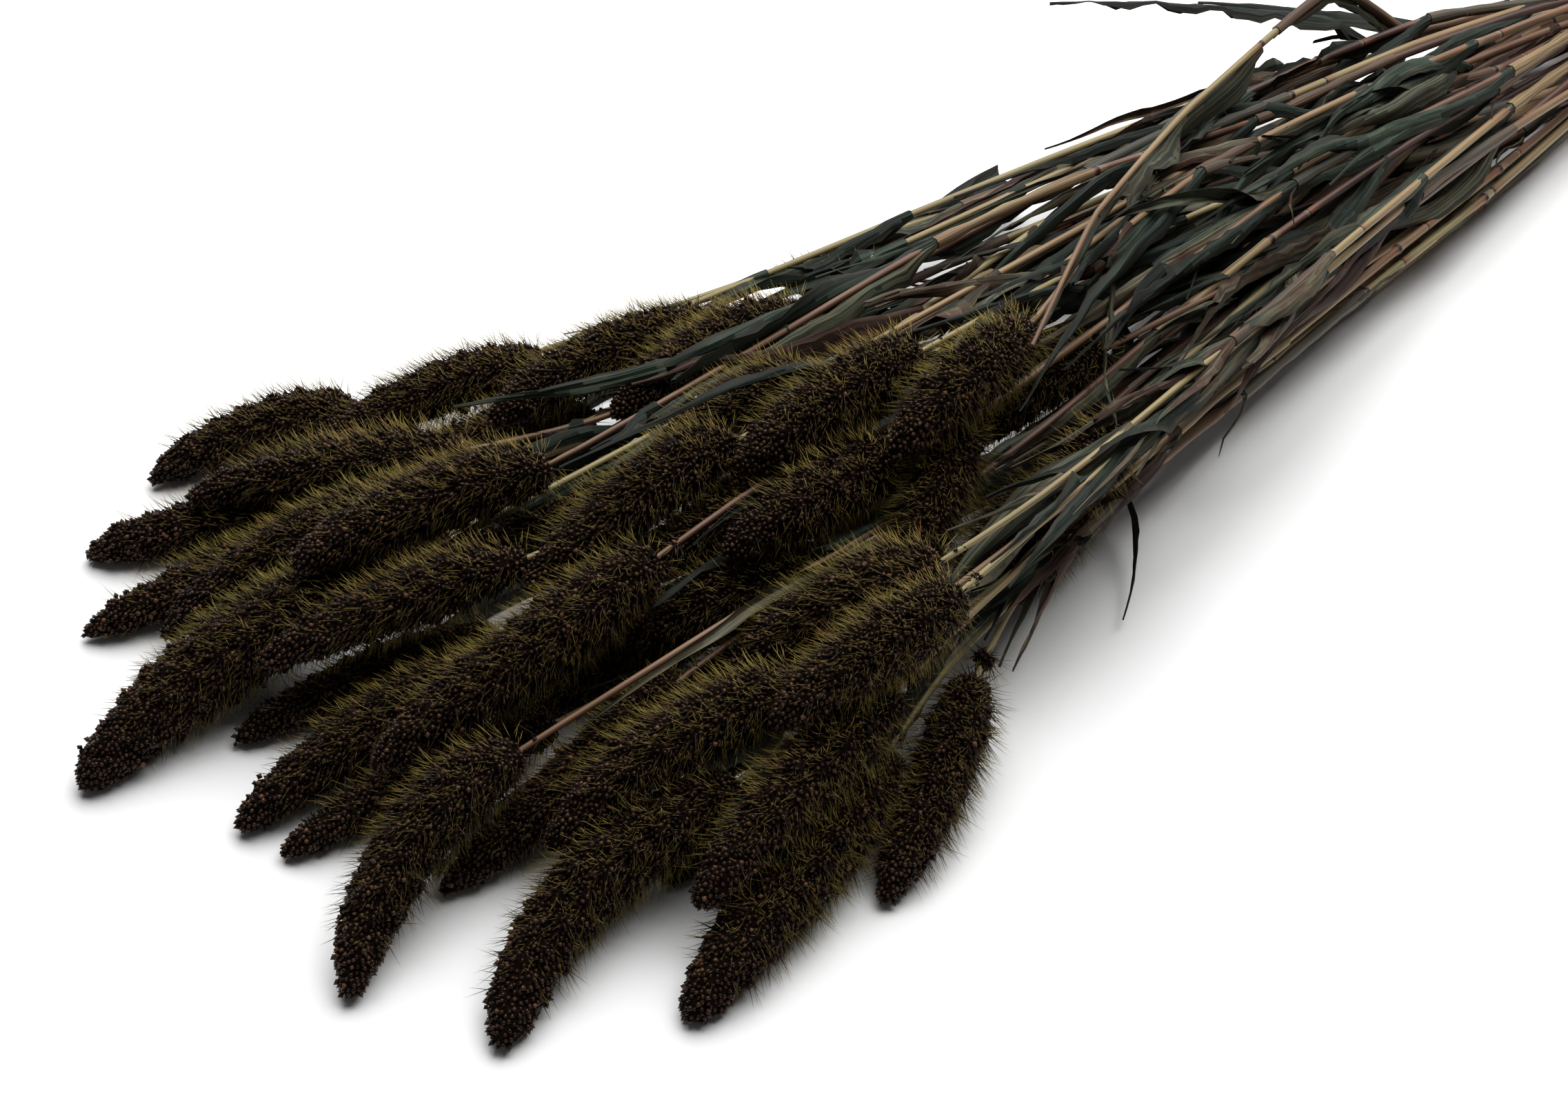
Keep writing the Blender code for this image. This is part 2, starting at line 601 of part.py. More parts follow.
def build():
    for thing in list(bpy.data.objects):
        bpy.data.objects.remove(thing)
    grain = finish("dried_grain", (0.035, 0.026, 0.018), 0.8)
    straw = finish("dried_stalk", (0.30, 0.19, 0.09), 0.65)
    rubber = finish("tie_rubber", (0.55, 0.36, 0.17), 0.55)
    stalks = stalk_routes()
    blades = blade_routes(stalks)
    bend_clear(stalks, blades)
    things = [head_object(f"head_{n + 1:02d}", stalk, n, grain) for n, stalk in enumerate(stalks)]
    for n, members in enumerate(clusters()):
        name = f"stalks_{n + 1:02d}"
        parts = [stalk_object(f"{name}_{m}", stalks[m]["points"][:STALK_POINTS], straw) for m in members]
        own = [blade for blade in blades if blade["stalk"] in members]
        parts += [blade_object(f"{name}_blade", blade, straw) for blade in own]
        things.append(fuse(name, parts, straw))
    things.append(tie_object("tie", rubber))
    stand_on_origin(things)


build()
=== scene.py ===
# The looks of a tied bunch of dried foxtail millet, which lies on its side on Z = 0 with its seed heads
# towards -X and its cut ends towards +X. Places are worked out in millimetres of the bunch's own drawing,
# and every mesh is written in metres, moved so that the drawn band stands where the solid band does.
import math
import random

import bpy
import numpy as np
from mathutils import Matrix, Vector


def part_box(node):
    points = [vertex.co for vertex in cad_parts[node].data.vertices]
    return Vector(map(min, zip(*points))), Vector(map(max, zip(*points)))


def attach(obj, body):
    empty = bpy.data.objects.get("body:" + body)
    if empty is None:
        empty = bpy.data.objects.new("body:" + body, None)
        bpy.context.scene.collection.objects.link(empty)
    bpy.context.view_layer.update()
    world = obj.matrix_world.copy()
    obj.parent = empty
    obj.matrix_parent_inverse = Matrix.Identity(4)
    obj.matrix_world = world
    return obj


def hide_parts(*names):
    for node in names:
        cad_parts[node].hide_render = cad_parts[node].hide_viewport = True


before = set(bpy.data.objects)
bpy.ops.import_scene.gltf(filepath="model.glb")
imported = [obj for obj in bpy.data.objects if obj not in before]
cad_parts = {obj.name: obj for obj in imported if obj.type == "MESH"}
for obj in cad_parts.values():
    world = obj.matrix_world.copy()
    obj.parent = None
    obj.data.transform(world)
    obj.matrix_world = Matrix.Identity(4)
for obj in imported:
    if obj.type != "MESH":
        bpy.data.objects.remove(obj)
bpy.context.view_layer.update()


# How the bunch lies
# Forty-four stalks grew apart, were cut, gathered in the hand and tied near their feet, so that they fan
# out to their heads. Each was laid by a smooth line, then all were pushed apart until none crosses another.
MM = 0.001

# The band, and the cut ends behind it
TIE_X = 470.0
TIE_Y = 44.0
TIE_LENGTH = 12.0
TIE_WALL = 1.6
TIE_GAP = 0.3
CUT_X = 532.0
CUT_UNEVEN = 10.0

# Stalks: three stand together as a cluster, five clusters in the middle of the band and ten round them
CULM_RADIUS = 1.8
NECK_RADIUS = 1.0
STALKS_TOGETHER = 3
STALK_TOUCH = 1.27
INNER_RING = 5.7
OUTER_RING = 12.0
FLARE_ACROSS = 0.0235
FLARE_UP = 0.020
ARRIVE_SHARE = 0.5
CUT_SPREAD = 0.2
STALK_POINTS = 10

# Heads: how far each arches up, and bows aside where no bow is given
HEAD_POINTS = 6
HEAD_CROWN = 2.5
HEAD_LOOSE_BOW = 3.0

# The larger blades: their sizes, then how far each leaves its stalk, droops and twists
BLADE_POINTS = 5
BLADE_LENGTHS = (95.0, 180.0)
BLADE_HALF_WIDTHS = (2.6, 4.2)
BLADE_LEAVES = (3.0, 12.0)
BLADE_LIFT = (-0.08, 0.22)
BLADE_DROOP = 0.09
BLADE_TWIST = 1.6
BLADE_FLOOR = 3.0
BLADE_JOINTS = (2, 3, 4, 5, 6)
SECOND_BLADE_EVERY = 6
EDGE_OF_FAN = 12.0

# How freely each kind of piece moves aside, and how stiffly it keeps its bends
STALK, HEAD, BLADE = range(3)
EASE = (1.0, 0.35, 1.6)
STIFFNESS = (0.12, 0.5, 0.06)
CLEAR = 0.25
BEND_ROUNDS = 520
LOOK_EVERY = 8
LOOK_AROUND = 8.0
OVERSHOOT = 0.02
SHARED = 0.5
HELD_UNTIL = 0.67
FREE_FROM = 0.82
BEND_KEPT = 0.2
BEND_HELD = 0.6
LENGTH_KEPT = 0.35
PLACE_KEPT = 0.06
SINK = 0.11
TIP_DIP = 0.5

# Direction in which a head gives way first, so that the fan keeps its look from the front left
GIVE = np.array([0.4056, 0.5792, -0.7071])
GIVE_SHARE = 0.93

# One line a head: middle of its tip, middle of its base, thickness, sideways bow
HEADS = [
    ((-163, 152, 7), (-90, 132, 16), 20, -3),
    ((-118, 118, 24), (-26, 112, 26), 21, -3),
    ((-162, 118, 26), (-74, 80, 26), 19, 0),
    ((-197, 132, 7), (-100, 98, 14), 19, 0),
    ((-196, 74, 18), (-94, 76, 24), 21, 0),
    ((-213, 98, 7), (-122, 88, 12), 19, 0),
    ((-179, 78, 7), (-96, 62, 20), 18, 0),
    ((-241, 38, 7), (-128, 40, 34), 26, -5),
    ((-182, 26, 40), (-96, 4, 56), 20, 0),
    ((-193, 28, 7), (-104, 12, 16), 19, 0),
    ((-209, -6, 9), (-112, -16, 38), 23, -4),
    ((-203, -22, 7), (-110, -32, 18), 18, 0),
    ((-174, -32, 40), (-68, -22, 58), 25, 2),
    ((-211, -80, 7), (-134, -52, 42), 24, -11),
    ((-169, -62, 7), (-74, -46, 26), 20, 0),
    ((-183, -120, 7), (-84, -90, 34), 24, -8),
    ((-146, -86, 34), (-54, -84, 50), 24, -2),
    ((-120, -128, 34), (-30, -100, 44), 23, 0),
    ((-135, -144, 7), (-34, -106, 24), 23, 3),
    ((-63, -142, 7), (6, -96, 22), 22, 0),
    ((-113, -98, 7), (-24, -78, 20), 18, 2),
    ((-70, -90, 46), (2, -90, 60), 23, 2),
    ((-72, -74, 52), (2, -82, 66), 24, 0),
    ((-18, -88, 60), (40, -34, 72), 21, -3),
    ((12, -38, 72), (80, -22, 78), 23, 3),
    ((52, -30, 50), (110, -30, 62), 21, 0),
    ((-28, -12, 66), (48, -6, 74), 24, 0),
    ((-44, 12, 64), (14, 4, 70), 22, 0),
    ((-34, 50, 50), (46, 54, 50), 24, -3),
    ((-66, 80, 40), (24, 78, 42), 23, -4),
    ((-14, 124, 16), (62, 88, 20), 20, 0),
    ((72, 112, 18), (100, 74, 20), 16, 0),
    ((-154, 50, 42), (-70, 30, 58), 24, 0),
    ((-95, 110, 7), (-22, 86, 16), 20, 0),
    ((-130, 40, 24), (-48, 28, 38), 20, 0),
    ((-104, -8, 56), (-20, 6, 68), 23, 0),
    ((-80, -20, 50), (4, -12, 62), 22, 0),
    ((-46, -36, 62), (32, -44, 70), 24, 0),
    ((-92, -28, 36), (-10, -48, 52), 22, 0),
    ((-102, -46, 20), (-18, -60, 34), 22, 4),
    ((-125, -16, 9), (-34, -24, 26), 22, 0),
    ((40, -66, 36), (102, -50, 48), 21, 0),
    ((14, -70, 24), (70, -50, 42), 20, 0),
    ((39, -66, 7), (100, -42, 18), 18, 0),
]

# Blades that lie clear of the rest: head number, joint, places after the joint, half width, twist
LOOSE_BLADES = [
    (20, 7, ((98, -62, 17), (92, -73, 11), (83, -83, 6), (72, -91, 4)), 2.8, 0.3),
    (30, 3, ((291, 75, 64), (204, 43, 74), (130, 6, 82), (62, -44, 90)), 2.6, 0.9),
    (31, 3, ((322, 82, 48), (296, 102, 52), (266, 124, 54), (232, 150, 52)), 4.4, 0.8),
]


def clusters():
    """Sorts the stalks into lanes across the bunch and layers up it, three stalks to a cluster."""
    lane_size = STALKS_TOGETHER * 3
    across = sorted(range(len(HEADS)), key=lambda n: HEADS[n][1][1])
    found = []
    for start in range(0, len(across), lane_size):
        lane = sorted(across[start:start + lane_size], key=lambda n: HEADS[n][1][2])
        found += [lane[n:n + STALKS_TOGETHER] for n in range(0, len(lane), STALKS_TOGETHER)]
    return found


def cluster_places():
    """Middles of the fifteen clusters in the band: five round its middle, ten round those."""
    places = []
    for count, radius, turn in ((5, INNER_RING, 90), (10, OUTER_RING, 72)):
        for n in range(count):
            angle = math.radians(turn + 360 * n / count)
            places.append((radius * math.cos(angle), radius * math.sin(angle)))
    places.sort()
    return [p for n in range(0, len(places), 3) for p in sorted(places[n:n + 3], key=lambda q: q[1])]


def tie_inside():
    """Inner radius of the band, which lies close round the outermost stalks."""
    spread = OUTER_RING * CUT_SPREAD * TIE_LENGTH / (CUT_X - TIE_X + TIE_LENGTH / 2)
    return OUTER_RING + STALK_TOUCH + CULM_RADIUS + spread + TIE_GAP


def stalk_radius(k):
    """Radius of a stalk at one of its points: even up to the band, then thinner towards its head."""
    return CULM_RADIUS + (NECK_RADIUS - CULM_RADIUS) * max(0, k - 1) / (STALK_POINTS - 2)


def head_swelling(t):
    """Thickness of a head as a share of its full one, from its base at 0 to its tip at 1."""
    return min(1.0, 0.60 + 1.6 * t) * (1.0 - 0.48 * max(0.0, (t - 0.35) / 0.65) ** 1.7)


def blade_width(t):
    """Half width of a blade as a share of its widest, from its root at 0 to its tip at 1."""
    return max(0.12, min(1.0, 0.55 + 1.8 * t) * (1.0 - t ** 1.8))


def between(start, start_way, end, end_way, count):
    """Points on the cubic that leaves one place along one way and reaches the next along another."""
    t = np.linspace(0.0, 1.0, count)[:, None]
    return ((2 * t ** 3 - 3 * t ** 2 + 1) * start + (t ** 3 - 2 * t ** 2 + t) * start_way
            + (3 * t ** 2 - 2 * t ** 3) * end + (t ** 3 - t ** 2) * end_way)


def size_of(v):
    """How long a vector is."""
    return math.sqrt(float((v * v).sum()))


def unit(v):
    """The same way with a length of one."""
    return v / size_of(v)


def stalk_routes():
    """Every stalk's points, from its cut end through the band to its head's base, then on to the tip."""
    rng = random.Random(7)
    middle_z = tie_inside() + TIE_WALL
    stalks = [None] * len(HEADS)
    for cluster, (members, (y, z)) in enumerate(zip(clusters(), cluster_places())):
        for place, n in enumerate(members):
            tip, base, wide, bow = (np.array(v, float) for v in HEADS[n])
            turn = math.atan2(z, y) + math.tau * place / STALKS_TOGETHER
            slot = np.array([TIE_X, TIE_Y + y + STALK_TOUCH * math.cos(turn),
                             middle_z + z + STALK_TOUCH * math.sin(turn)])
            cut = slot + [CUT_X - TIE_X - rng.uniform(0, CUT_UNEVEN), CUT_SPREAD * y, CUT_SPREAD * z]
            front = slot - [TIE_LENGTH / 2, 0, 0]
            reach = size_of(base - front)
            leave = unit(np.array([-1.0, FLARE_ACROSS * y, FLARE_UP * z])) * reach
            side = unit(np.array([base[1] - tip[1], tip[0] - base[0], 0.0]))
            arrive = unit(unit(tip - base) + side * bow * 4 / size_of(tip - base)) * reach * ARRIVE_SHARE
            stem = between(front, leave, base, arrive, STALK_POINTS - 1)
            t = np.linspace(0, 1, HEAD_POINTS)[1:, None]
            arch = 4 * t * (1 - t)
            bow = bow if bow else rng.uniform(-HEAD_LOOSE_BOW, HEAD_LOOSE_BOW)
            head = base + (tip - base) * t + side * arch * bow + np.array([0, 0, HEAD_CROWN]) * arch
            points = np.vstack([cut, stem, head])
            points[:, 2] = np.maximum(points[:, 2], CULM_RADIUS)
            stalks[n] = {"cluster": cluster, "wide": float(wide), "points": points}
    return stalks


def blade_routes(stalks):
    """A dried blade or two on each stalk, leaning off along it and drooping, then the loose ones."""
    rng = random.Random(12)
    middle = np.mean([stalk["points"][:STALK_POINTS] for stalk in stalks], axis=0)
    blades = []
    for n, stalk in enumerate(stalks):
        for joint in rng.sample(BLADE_JOINTS, 2 if n % SECOND_BLADE_EVERY == 0 else 1):
            root, ahead = stalk["points"][joint], stalk["points"][joint + 1]
            way = unit(ahead - root)
            outward = root[1] - middle[joint][1]
            hand = rng.choice([-1, 1])
            hand = hand if abs(outward) < EDGE_OF_FAN else math.copysign(1, outward)
            turn = math.radians(rng.uniform(*BLADE_LEAVES)) * hand
            way = np.array([way[0] * math.cos(turn) - way[1] * math.sin(turn),
                            way[0] * math.sin(turn) + way[1] * math.cos(turn),
                            way[2] + rng.uniform(*BLADE_LIFT)])
            step = rng.uniform(*BLADE_LENGTHS) / (BLADE_POINTS - 1)
            points = [root]
            for _ in range(BLADE_POINTS - 1):
                points.append(points[-1] + unit(way) * step)
                way = unit(way) - [0, 0, BLADE_DROOP]
            points = np.array(points)
            points[:, 2] = np.maximum(points[:, 2], BLADE_FLOOR)
            blades.append({"stalk": n, "joint": joint, "points": points,
                           "half": rng.uniform(*BLADE_HALF_WIDTHS),
                           "twist": rng.uniform(-BLADE_TWIST, BLADE_TWIST)})
    for number, joint, places, half, twist in LOOSE_BLADES:
        root = stalks[number - 1]["points"][joint]
        blades.append({"stalk": number - 1, "joint": joint, "half": half, "twist": twist,
                       "points": np.vstack([root, np.array(places, float)])})
    return blades


def gather(stalks, blades):
    """Lists every point, every straight run between two points, and every bend at a point."""
    points, pieces, bends = [], [], []
    for n, stalk in enumerate(stalks):
        stalk["first"] = first = len(points)
        total = len(stalk["points"])
        for k, point in enumerate(stalk["points"]):
            in_head = k >= STALK_POINTS - 1
            share = (k - STALK_POINTS + 1) / (HEAD_POINTS - 1)
            radius = stalk["wide"] / 2 * head_swelling(share) if in_head else stalk_radius(k)
            points.append((*point, radius, HEAD if in_head else STALK, k <= 1))
        for k in range(total - 1):
            in_head = k >= STALK_POINTS - 1
            end = NECK_RADIUS if k == STALK_POINTS - 2 else points[first + k + 1][3]
            pieces.append((first + k, first + k + 1, HEAD if in_head else STALK, n, stalk["cluster"],
                           points[first + k][3], end))
        for k in range(1, total - 1):
            stiffness = STIFFNESS[HEAD if k >= STALK_POINTS - 1 else STALK]
            bends.append((first + k - 1, first + k, first + k + 1, stiffness))
    for blade in blades:
        chain = [stalks[blade["stalk"]]["first"] + blade["joint"]]
        halves = [blade["half"] * blade_width(k / (BLADE_POINTS - 1)) for k in range(BLADE_POINTS)]
        for k, point in enumerate(blade["points"][1:], 1):
            chain.append(len(points))
            points.append((*point, halves[k], BLADE, False))
        for k in range(BLADE_POINTS - 1):
            pieces.append((chain[k], chain[k + 1], BLADE, blade["stalk"],
                           stalks[blade["stalk"]]["cluster"], halves[k], halves[k + 1]))
        for k in range(1, BLADE_POINTS - 1):
            bends.append((chain[k - 1], chain[k], chain[k + 1], STIFFNESS[BLADE]))
        blade["chain"] = chain
    return np.array(points, float), np.array(pieces, float), np.array(bends, float)


def total_at(index, moves, size):
    """Sums the moves that land on each point."""
    return np.stack([np.bincount(index, weights=moves[:, c], minlength=size) for c in range(3)], axis=1)


def nearest(x, start, end, i, j):
    """Where each pair of straight runs comes closest: the share along each, and the way between."""
    from_i, from_j = x[start[i]], x[start[j]]
    run_i, run_j = x[end[i]] - from_i, x[end[j]] - from_j
    apart = from_i - from_j
    ii, jj, ij = (run_i * run_i).sum(1), (run_j * run_j).sum(1), (run_i * run_j).sum(1)
    ia, ja = (run_i * apart).sum(1), (run_j * apart).sum(1)
    spread = ii * jj - ij * ij
    s = np.where(spread > 1e-9, np.clip((ij * ja - ia * jj) / np.maximum(spread, 1e-9), 0, 1), 0.5)
    t = np.clip((ij * s + ja) / jj, 0, 1)
    s = np.clip((t * ij - ia) / ii, 0, 1)
    t = np.clip((ij * s + ja) / jj, 0, 1)
    return s, t, (from_i + run_i * s[:, None]) - (from_j + run_j * t[:, None])


def bend_clear(stalks, blades):
    """Bends stalks, heads and blades until none runs through another, and rests them on the surface."""
    points, pieces, bends = gather(stalks, blades)
    x, radius, kind_at, fixed = points[:, :3].copy(), points[:, 3], points[:, 4], points[:, 5] > 0
    size = len(x)
    start, end, kind, owner, cluster = (pieces[:, c].astype(int) for c in range(5))
    wide_start, wide_end = pieces[:, 5] + CLEAR, pieces[:, 6] + CLEAR
    before, here, after = (bends[:, c].astype(int) for c in range(3))
    ease = np.where(fixed, 0.0, np.array(EASE)[kind_at.astype(int)])
    in_head = (kind_at == HEAD) * 1.0
    lowest = radius.copy()
    lowest[[stalk["first"] + STALK_POINTS + HEAD_POINTS - 2 for stalk in stalks]] *= TIP_DIP
    home, rest = x.copy(), x[here] - (x[before] + x[after]) / 2
    length = np.sqrt(((x[end] - x[start]) ** 2).sum(1))
    i, j = np.triu_indices(len(start), 1)
    one_stalk = (owner[i] == owner[j]) & ((kind[i] + kind[j]) != HEAD + BLADE)
    one_node = (cluster[i] == cluster[j]) & (kind[i] != HEAD) & (kind[j] != HEAD)
    i, j = i[~(one_stalk | one_node)], j[~(one_stalk | one_node)]
    for number in range(BEND_ROUNDS):
        hold = min(1.0, max(0.0, (FREE_FROM - number / BEND_ROUNDS) / (FREE_FROM - HELD_UNTIL)))
        if number % LOOK_EVERY == 0:
            middle = (x[start] + x[end]) / 2
            reach = np.sqrt(((x[end] - x[start]) ** 2).sum(1)) / 2 + np.maximum(wide_start, wide_end)
            close = ((middle[i] - middle[j]) ** 2).sum(1) < (reach[i] + reach[j] + LOOK_AROUND) ** 2
            p, q = i[close], j[close]
        s, t, way = nearest(x, start, end, p, q)
        gap = np.sqrt((way * way).sum(1))
        need = (wide_start[p] + (wide_end[p] - wide_start[p]) * s
                + wide_start[q] + (wide_end[q] - wide_start[q]) * t)
        hit = need > gap
        s, t, a, b = s[hit], t[hit], p[hit], q[hit]
        way = way[hit] / np.maximum(gap[hit], 1e-6)[:, None]
        ends = [(start[a], 1 - s, 1), (end[a], s, 1), (start[b], 1 - t, -1), (end[b], t, -1)]
        give = sum(share * share * ease[at] for at, share, _ in ends)
        amount = (need[hit] - gap[hit] + OVERSHOOT) / np.maximum(give, 1e-6)
        move, times = np.zeros_like(x), np.zeros(size)
        for at, share, sign in ends:
            weight = share * ease[at]
            move += total_at(at, way * (amount * weight * sign)[:, None], size)
            times += np.bincount(at, weights=(weight > 0) * 1.0, minlength=size)
        x += move / np.maximum(1.0, times * SHARED)[:, None]
        bend = (x[before] + x[after]) / 2 + rest - x[here]
        bend *= (bends[:, 3] * (BEND_KEPT + BEND_HELD * hold) * (ease[here] > 0))[:, None]
        x += total_at(here, bend, size)
        run = x[end] - x[start]
        now = np.sqrt((run * run).sum(1))
        fix = run * ((now - length) / now / np.maximum(ease[start] + ease[end], 1e-6) * LENGTH_KEPT)[:, None]
        x += total_at(start, fix * ease[start][:, None], size) - total_at(end, fix * ease[end][:, None], size)
        off = home - x
        in_view = off - GIVE_SHARE * (off @ GIVE)[:, None] * GIVE
        x += in_view * (in_head * PLACE_KEPT * hold)[:, None]
        x[:, 2] = np.maximum(x[:, 2] - in_head * SINK * hold, lowest)
        x[fixed] = home[fixed]
    for stalk in stalks:
        stalk["points"] = x[stalk["first"]:stalk["first"] + STALK_POINTS + HEAD_POINTS - 1]
    for blade in blades:
        blade["points"] = x[blade["chain"]]


stalks = stalk_routes()
blades = blade_routes(stalks)
bend_clear(stalks, blades)
tie_low, tie_high = (np.array(corner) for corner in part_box("tie"))
drawn_tie = np.array([TIE_X, TIE_Y, tie_inside() + TIE_WALL]) * MM
drawn_to_frame = (tie_low + tie_high) / 2 - drawn_tie


# Culms
# Hollow straw, waxy and smooth, cut square at the foot and slimmer towards the head. Dark joints ring it:
# it is orange just above a joint, pale just below, and anything from straw yellow to plum brown between.
CULM_SIDES = 7
CULM_STEP = 14.0
CULM_INTO_HEAD = 14.0
CULM_JOINTS = (2, 3, 4, 5, 6)
JOINTS_MORE = (1, 3)

# A joint's places along the culm and how far each swells, then how near to it the straw changes colour
JOINT_PROFILE = ((-3.5, 1.0), (-1.6, 1.08), (-0.6, 1.3), (0.5, 1.32), (1.3, 1.1), (3.5, 1.0))
JOINT_SHOWS = 20.0
JOINT_ROOM = 3.0
HIDDEN_SHARE = 0.8
LINE_STEPS = 12

# A culm runs nearly straight from joint to joint, and bends a little at each
ROUNDED = 0.45
KINK_ACROSS = 11.0
KINK_UP = 4.0
KINK_EDGE = 28.0
KINK_AT_EDGE = 0.4

# Tone of the culms that lie over heads or at the edge, from pale straw at 0 to plum brown at 1, and how much
# further some heads bow aside
CULM_TONES = {3: 0.8, 13: 0.9, 14: 0.85, 15: 0.9, 16: 0.0, 19: 0.15, 21: 0.3, 33: 0.85}
HEAD_BOWS = {8: -4.0, 16: -6.0, 19: -3.0}

# The slim side shoot of one stalk, which leaves it at the back and crosses over the bunch
SHOOT = 30
SHOOT_RISES = (12.0, 0.0, 7.0)
SHOOT_ROUNDED = 0.3
SHOOT_RADII = (1.7, 0.7)
SHOOT_STEP = 12.0
SHOOT_STARTS = 250.0
SHOOT_COLLAR = 0.33
SHOOT_TONES = (0.1, 1.0)


def add(tree, kind, feeds=None, stops=None, **settings):
    """Adds a node: its settings, what feeds each socket (a value or an output), and a ramp's colours."""
    made = tree.nodes.new(kind)
    for name, value in settings.items():
        setattr(made, name, value)
    for key, value in (feeds or {}).items():
        if isinstance(value, bpy.types.NodeSocket):
            tree.links.new(value, made.inputs[key])
        else:
            made.inputs[key].default_value = value
    for n, (place, colour) in enumerate(stops or ()):
        marks = made.color_ramp.elements
        mark = marks[n] if n < 2 else marks.new(place)
        mark.position = place
        mark.color = linear(colour)
    return made


def linear(colour):
    """The linear value of an sRGB colour such as #8a6f4d."""
    parts = [int(colour[n:n + 2], 16) / 255 for n in (1, 3, 5)]
    return (*[p / 12.92 if p <= 0.04045 else ((p + 0.055) / 1.055) ** 2.4 for p in parts], 1.0)


def new_material(name):
    """A new material's name, node tree and shader."""
    material = bpy.data.materials.new(name)
    material.use_nodes = True
    return material, material.node_tree, material.node_tree.nodes["Principled BSDF"]


def drifting(tree, tone, patch, by):
    """A tone that drifts with a noise, by half of the given amount up and down."""
    moved = add(tree, "ShaderNodeMath", {0: patch.outputs["Fac"], 1: by, 2: -by / 2},
                operation="MULTIPLY_ADD")
    return add(tree, "ShaderNodeMath", {0: tone.outputs["Fac"], 1: moved.outputs[0]}, operation="ADD")


def lined(tree, colour, lines, strength, stops):
    """A colour darkened along fine lines."""
    shade = add(tree, "ShaderNodeValToRGB", {"Fac": lines.outputs["Fac"]}, stops=stops)
    return add(tree, "ShaderNodeMix", {0: strength, 6: colour, 7: shade.outputs[0]},
               data_type="RGBA", blend_type="MULTIPLY")


def round_and_along(tree, reach):
    """A place on a stem: round its section, and how far along it."""
    around = add(tree, "ShaderNodeAttribute", attribute_name="around")
    length = add(tree, "ShaderNodeCombineXYZ", {"Z": reach.outputs["Fac"]})
    return add(tree, "ShaderNodeVectorMath", {0: around.outputs["Vector"], 1: length.outputs[0]},
               operation="ADD")


def new_tree(name, inputs):
    """A geometry node tree with named inputs for its sizes, its input node and its output node."""
    tree = bpy.data.node_groups.new(name, "GeometryNodeTree")
    tree.interface.new_socket("Geometry", in_out="INPUT", socket_type="NodeSocketGeometry")
    for key, kind in inputs.items():
        tree.interface.new_socket(key, in_out="INPUT", socket_type=kind)
    tree.interface.new_socket("Geometry", in_out="OUTPUT", socket_type="NodeSocketGeometry")
    return tree, add(tree, "NodeGroupInput").outputs, add(tree, "NodeGroupOutput").inputs["Geometry"]


def line_through(points, rounded=1.0):
    """A line through the points, smooth or nearly straight between them, and the distances along it."""
    framed = np.vstack([2 * points[0] - points[1], points, 2 * points[-1] - points[-2]])
    t = np.linspace(0, 1, LINE_STEPS, endpoint=False)[:, None]
    parts = []
    for k in range(len(points) - 1):
        a, b, c, d = framed[k:k + 4]
        smooth = b + 0.5 * ((c - a) * t + (2 * a - 5 * b + 4 * c - d) * t ** 2
                            + (3 * b - a - 3 * c + d) * t ** 3)
        parts.append(smooth * rounded + (b + (c - b) * t) * (1 - rounded))
    line = np.vstack(parts + [points[-1:]])
    reach = np.concatenate([[0.0], np.cumsum(np.sqrt(((line[1:] - line[:-1]) ** 2).sum(1)))])
    return line, reach


def places_at(line, reach, at):
    """Places at the given distances along a line."""
    return np.stack([np.interp(at, reach, line[:, c]) for c in range(3)], axis=1)


def bare_mesh(name, corners, edges, faces, values):
    """A mesh in metres, placed where the solid band stands, with numbers or vectors on its points."""
    mesh = bpy.data.meshes.new(name)
    mesh.from_pydata((corners * MM + drawn_to_frame).tolist(), edges, faces)
    for key, array in values.items():
        kind, field = ("FLOAT", "value") if array.ndim == 1 else ("FLOAT_VECTOR", "vector")
        mesh.attributes.new(key, kind, "POINT").data.foreach_set(field, array.astype(np.float32).ravel())
    return mesh


def grow(name, mesh, tree, sizes):
    """Runs a node tree on a mesh and gives back the result as a plain object."""
    thing = bpy.data.objects.new(name, mesh)
    bpy.context.scene.collection.objects.link(thing)
    modifier = thing.modifiers.new("grow", "NODES")
    modifier.node_group = tree
    sockets = {item.name: item.identifier for item in tree.interface.items_tree if item.in_out == "INPUT"}
    for key, value in sizes.items():
        modifier[sockets[key]] = value
    thing.data = bpy.data.meshes.new_from_object(thing.evaluated_get(bpy.context.evaluated_depsgraph_get()))
    thing.modifiers.clear()
    bpy.data.meshes.remove(mesh)
    return thing


def rest_on_floor(thing):
    """Presses what would reach below the surface flat on it."""
    mesh = thing.data
    places = np.zeros(len(mesh.vertices) * 3, np.float32)
    mesh.vertices.foreach_get("co", places)
    places[2::3] = np.maximum(places[2::3], 0.0)
    mesh.vertices.foreach_set("co", places)
    mesh.update()


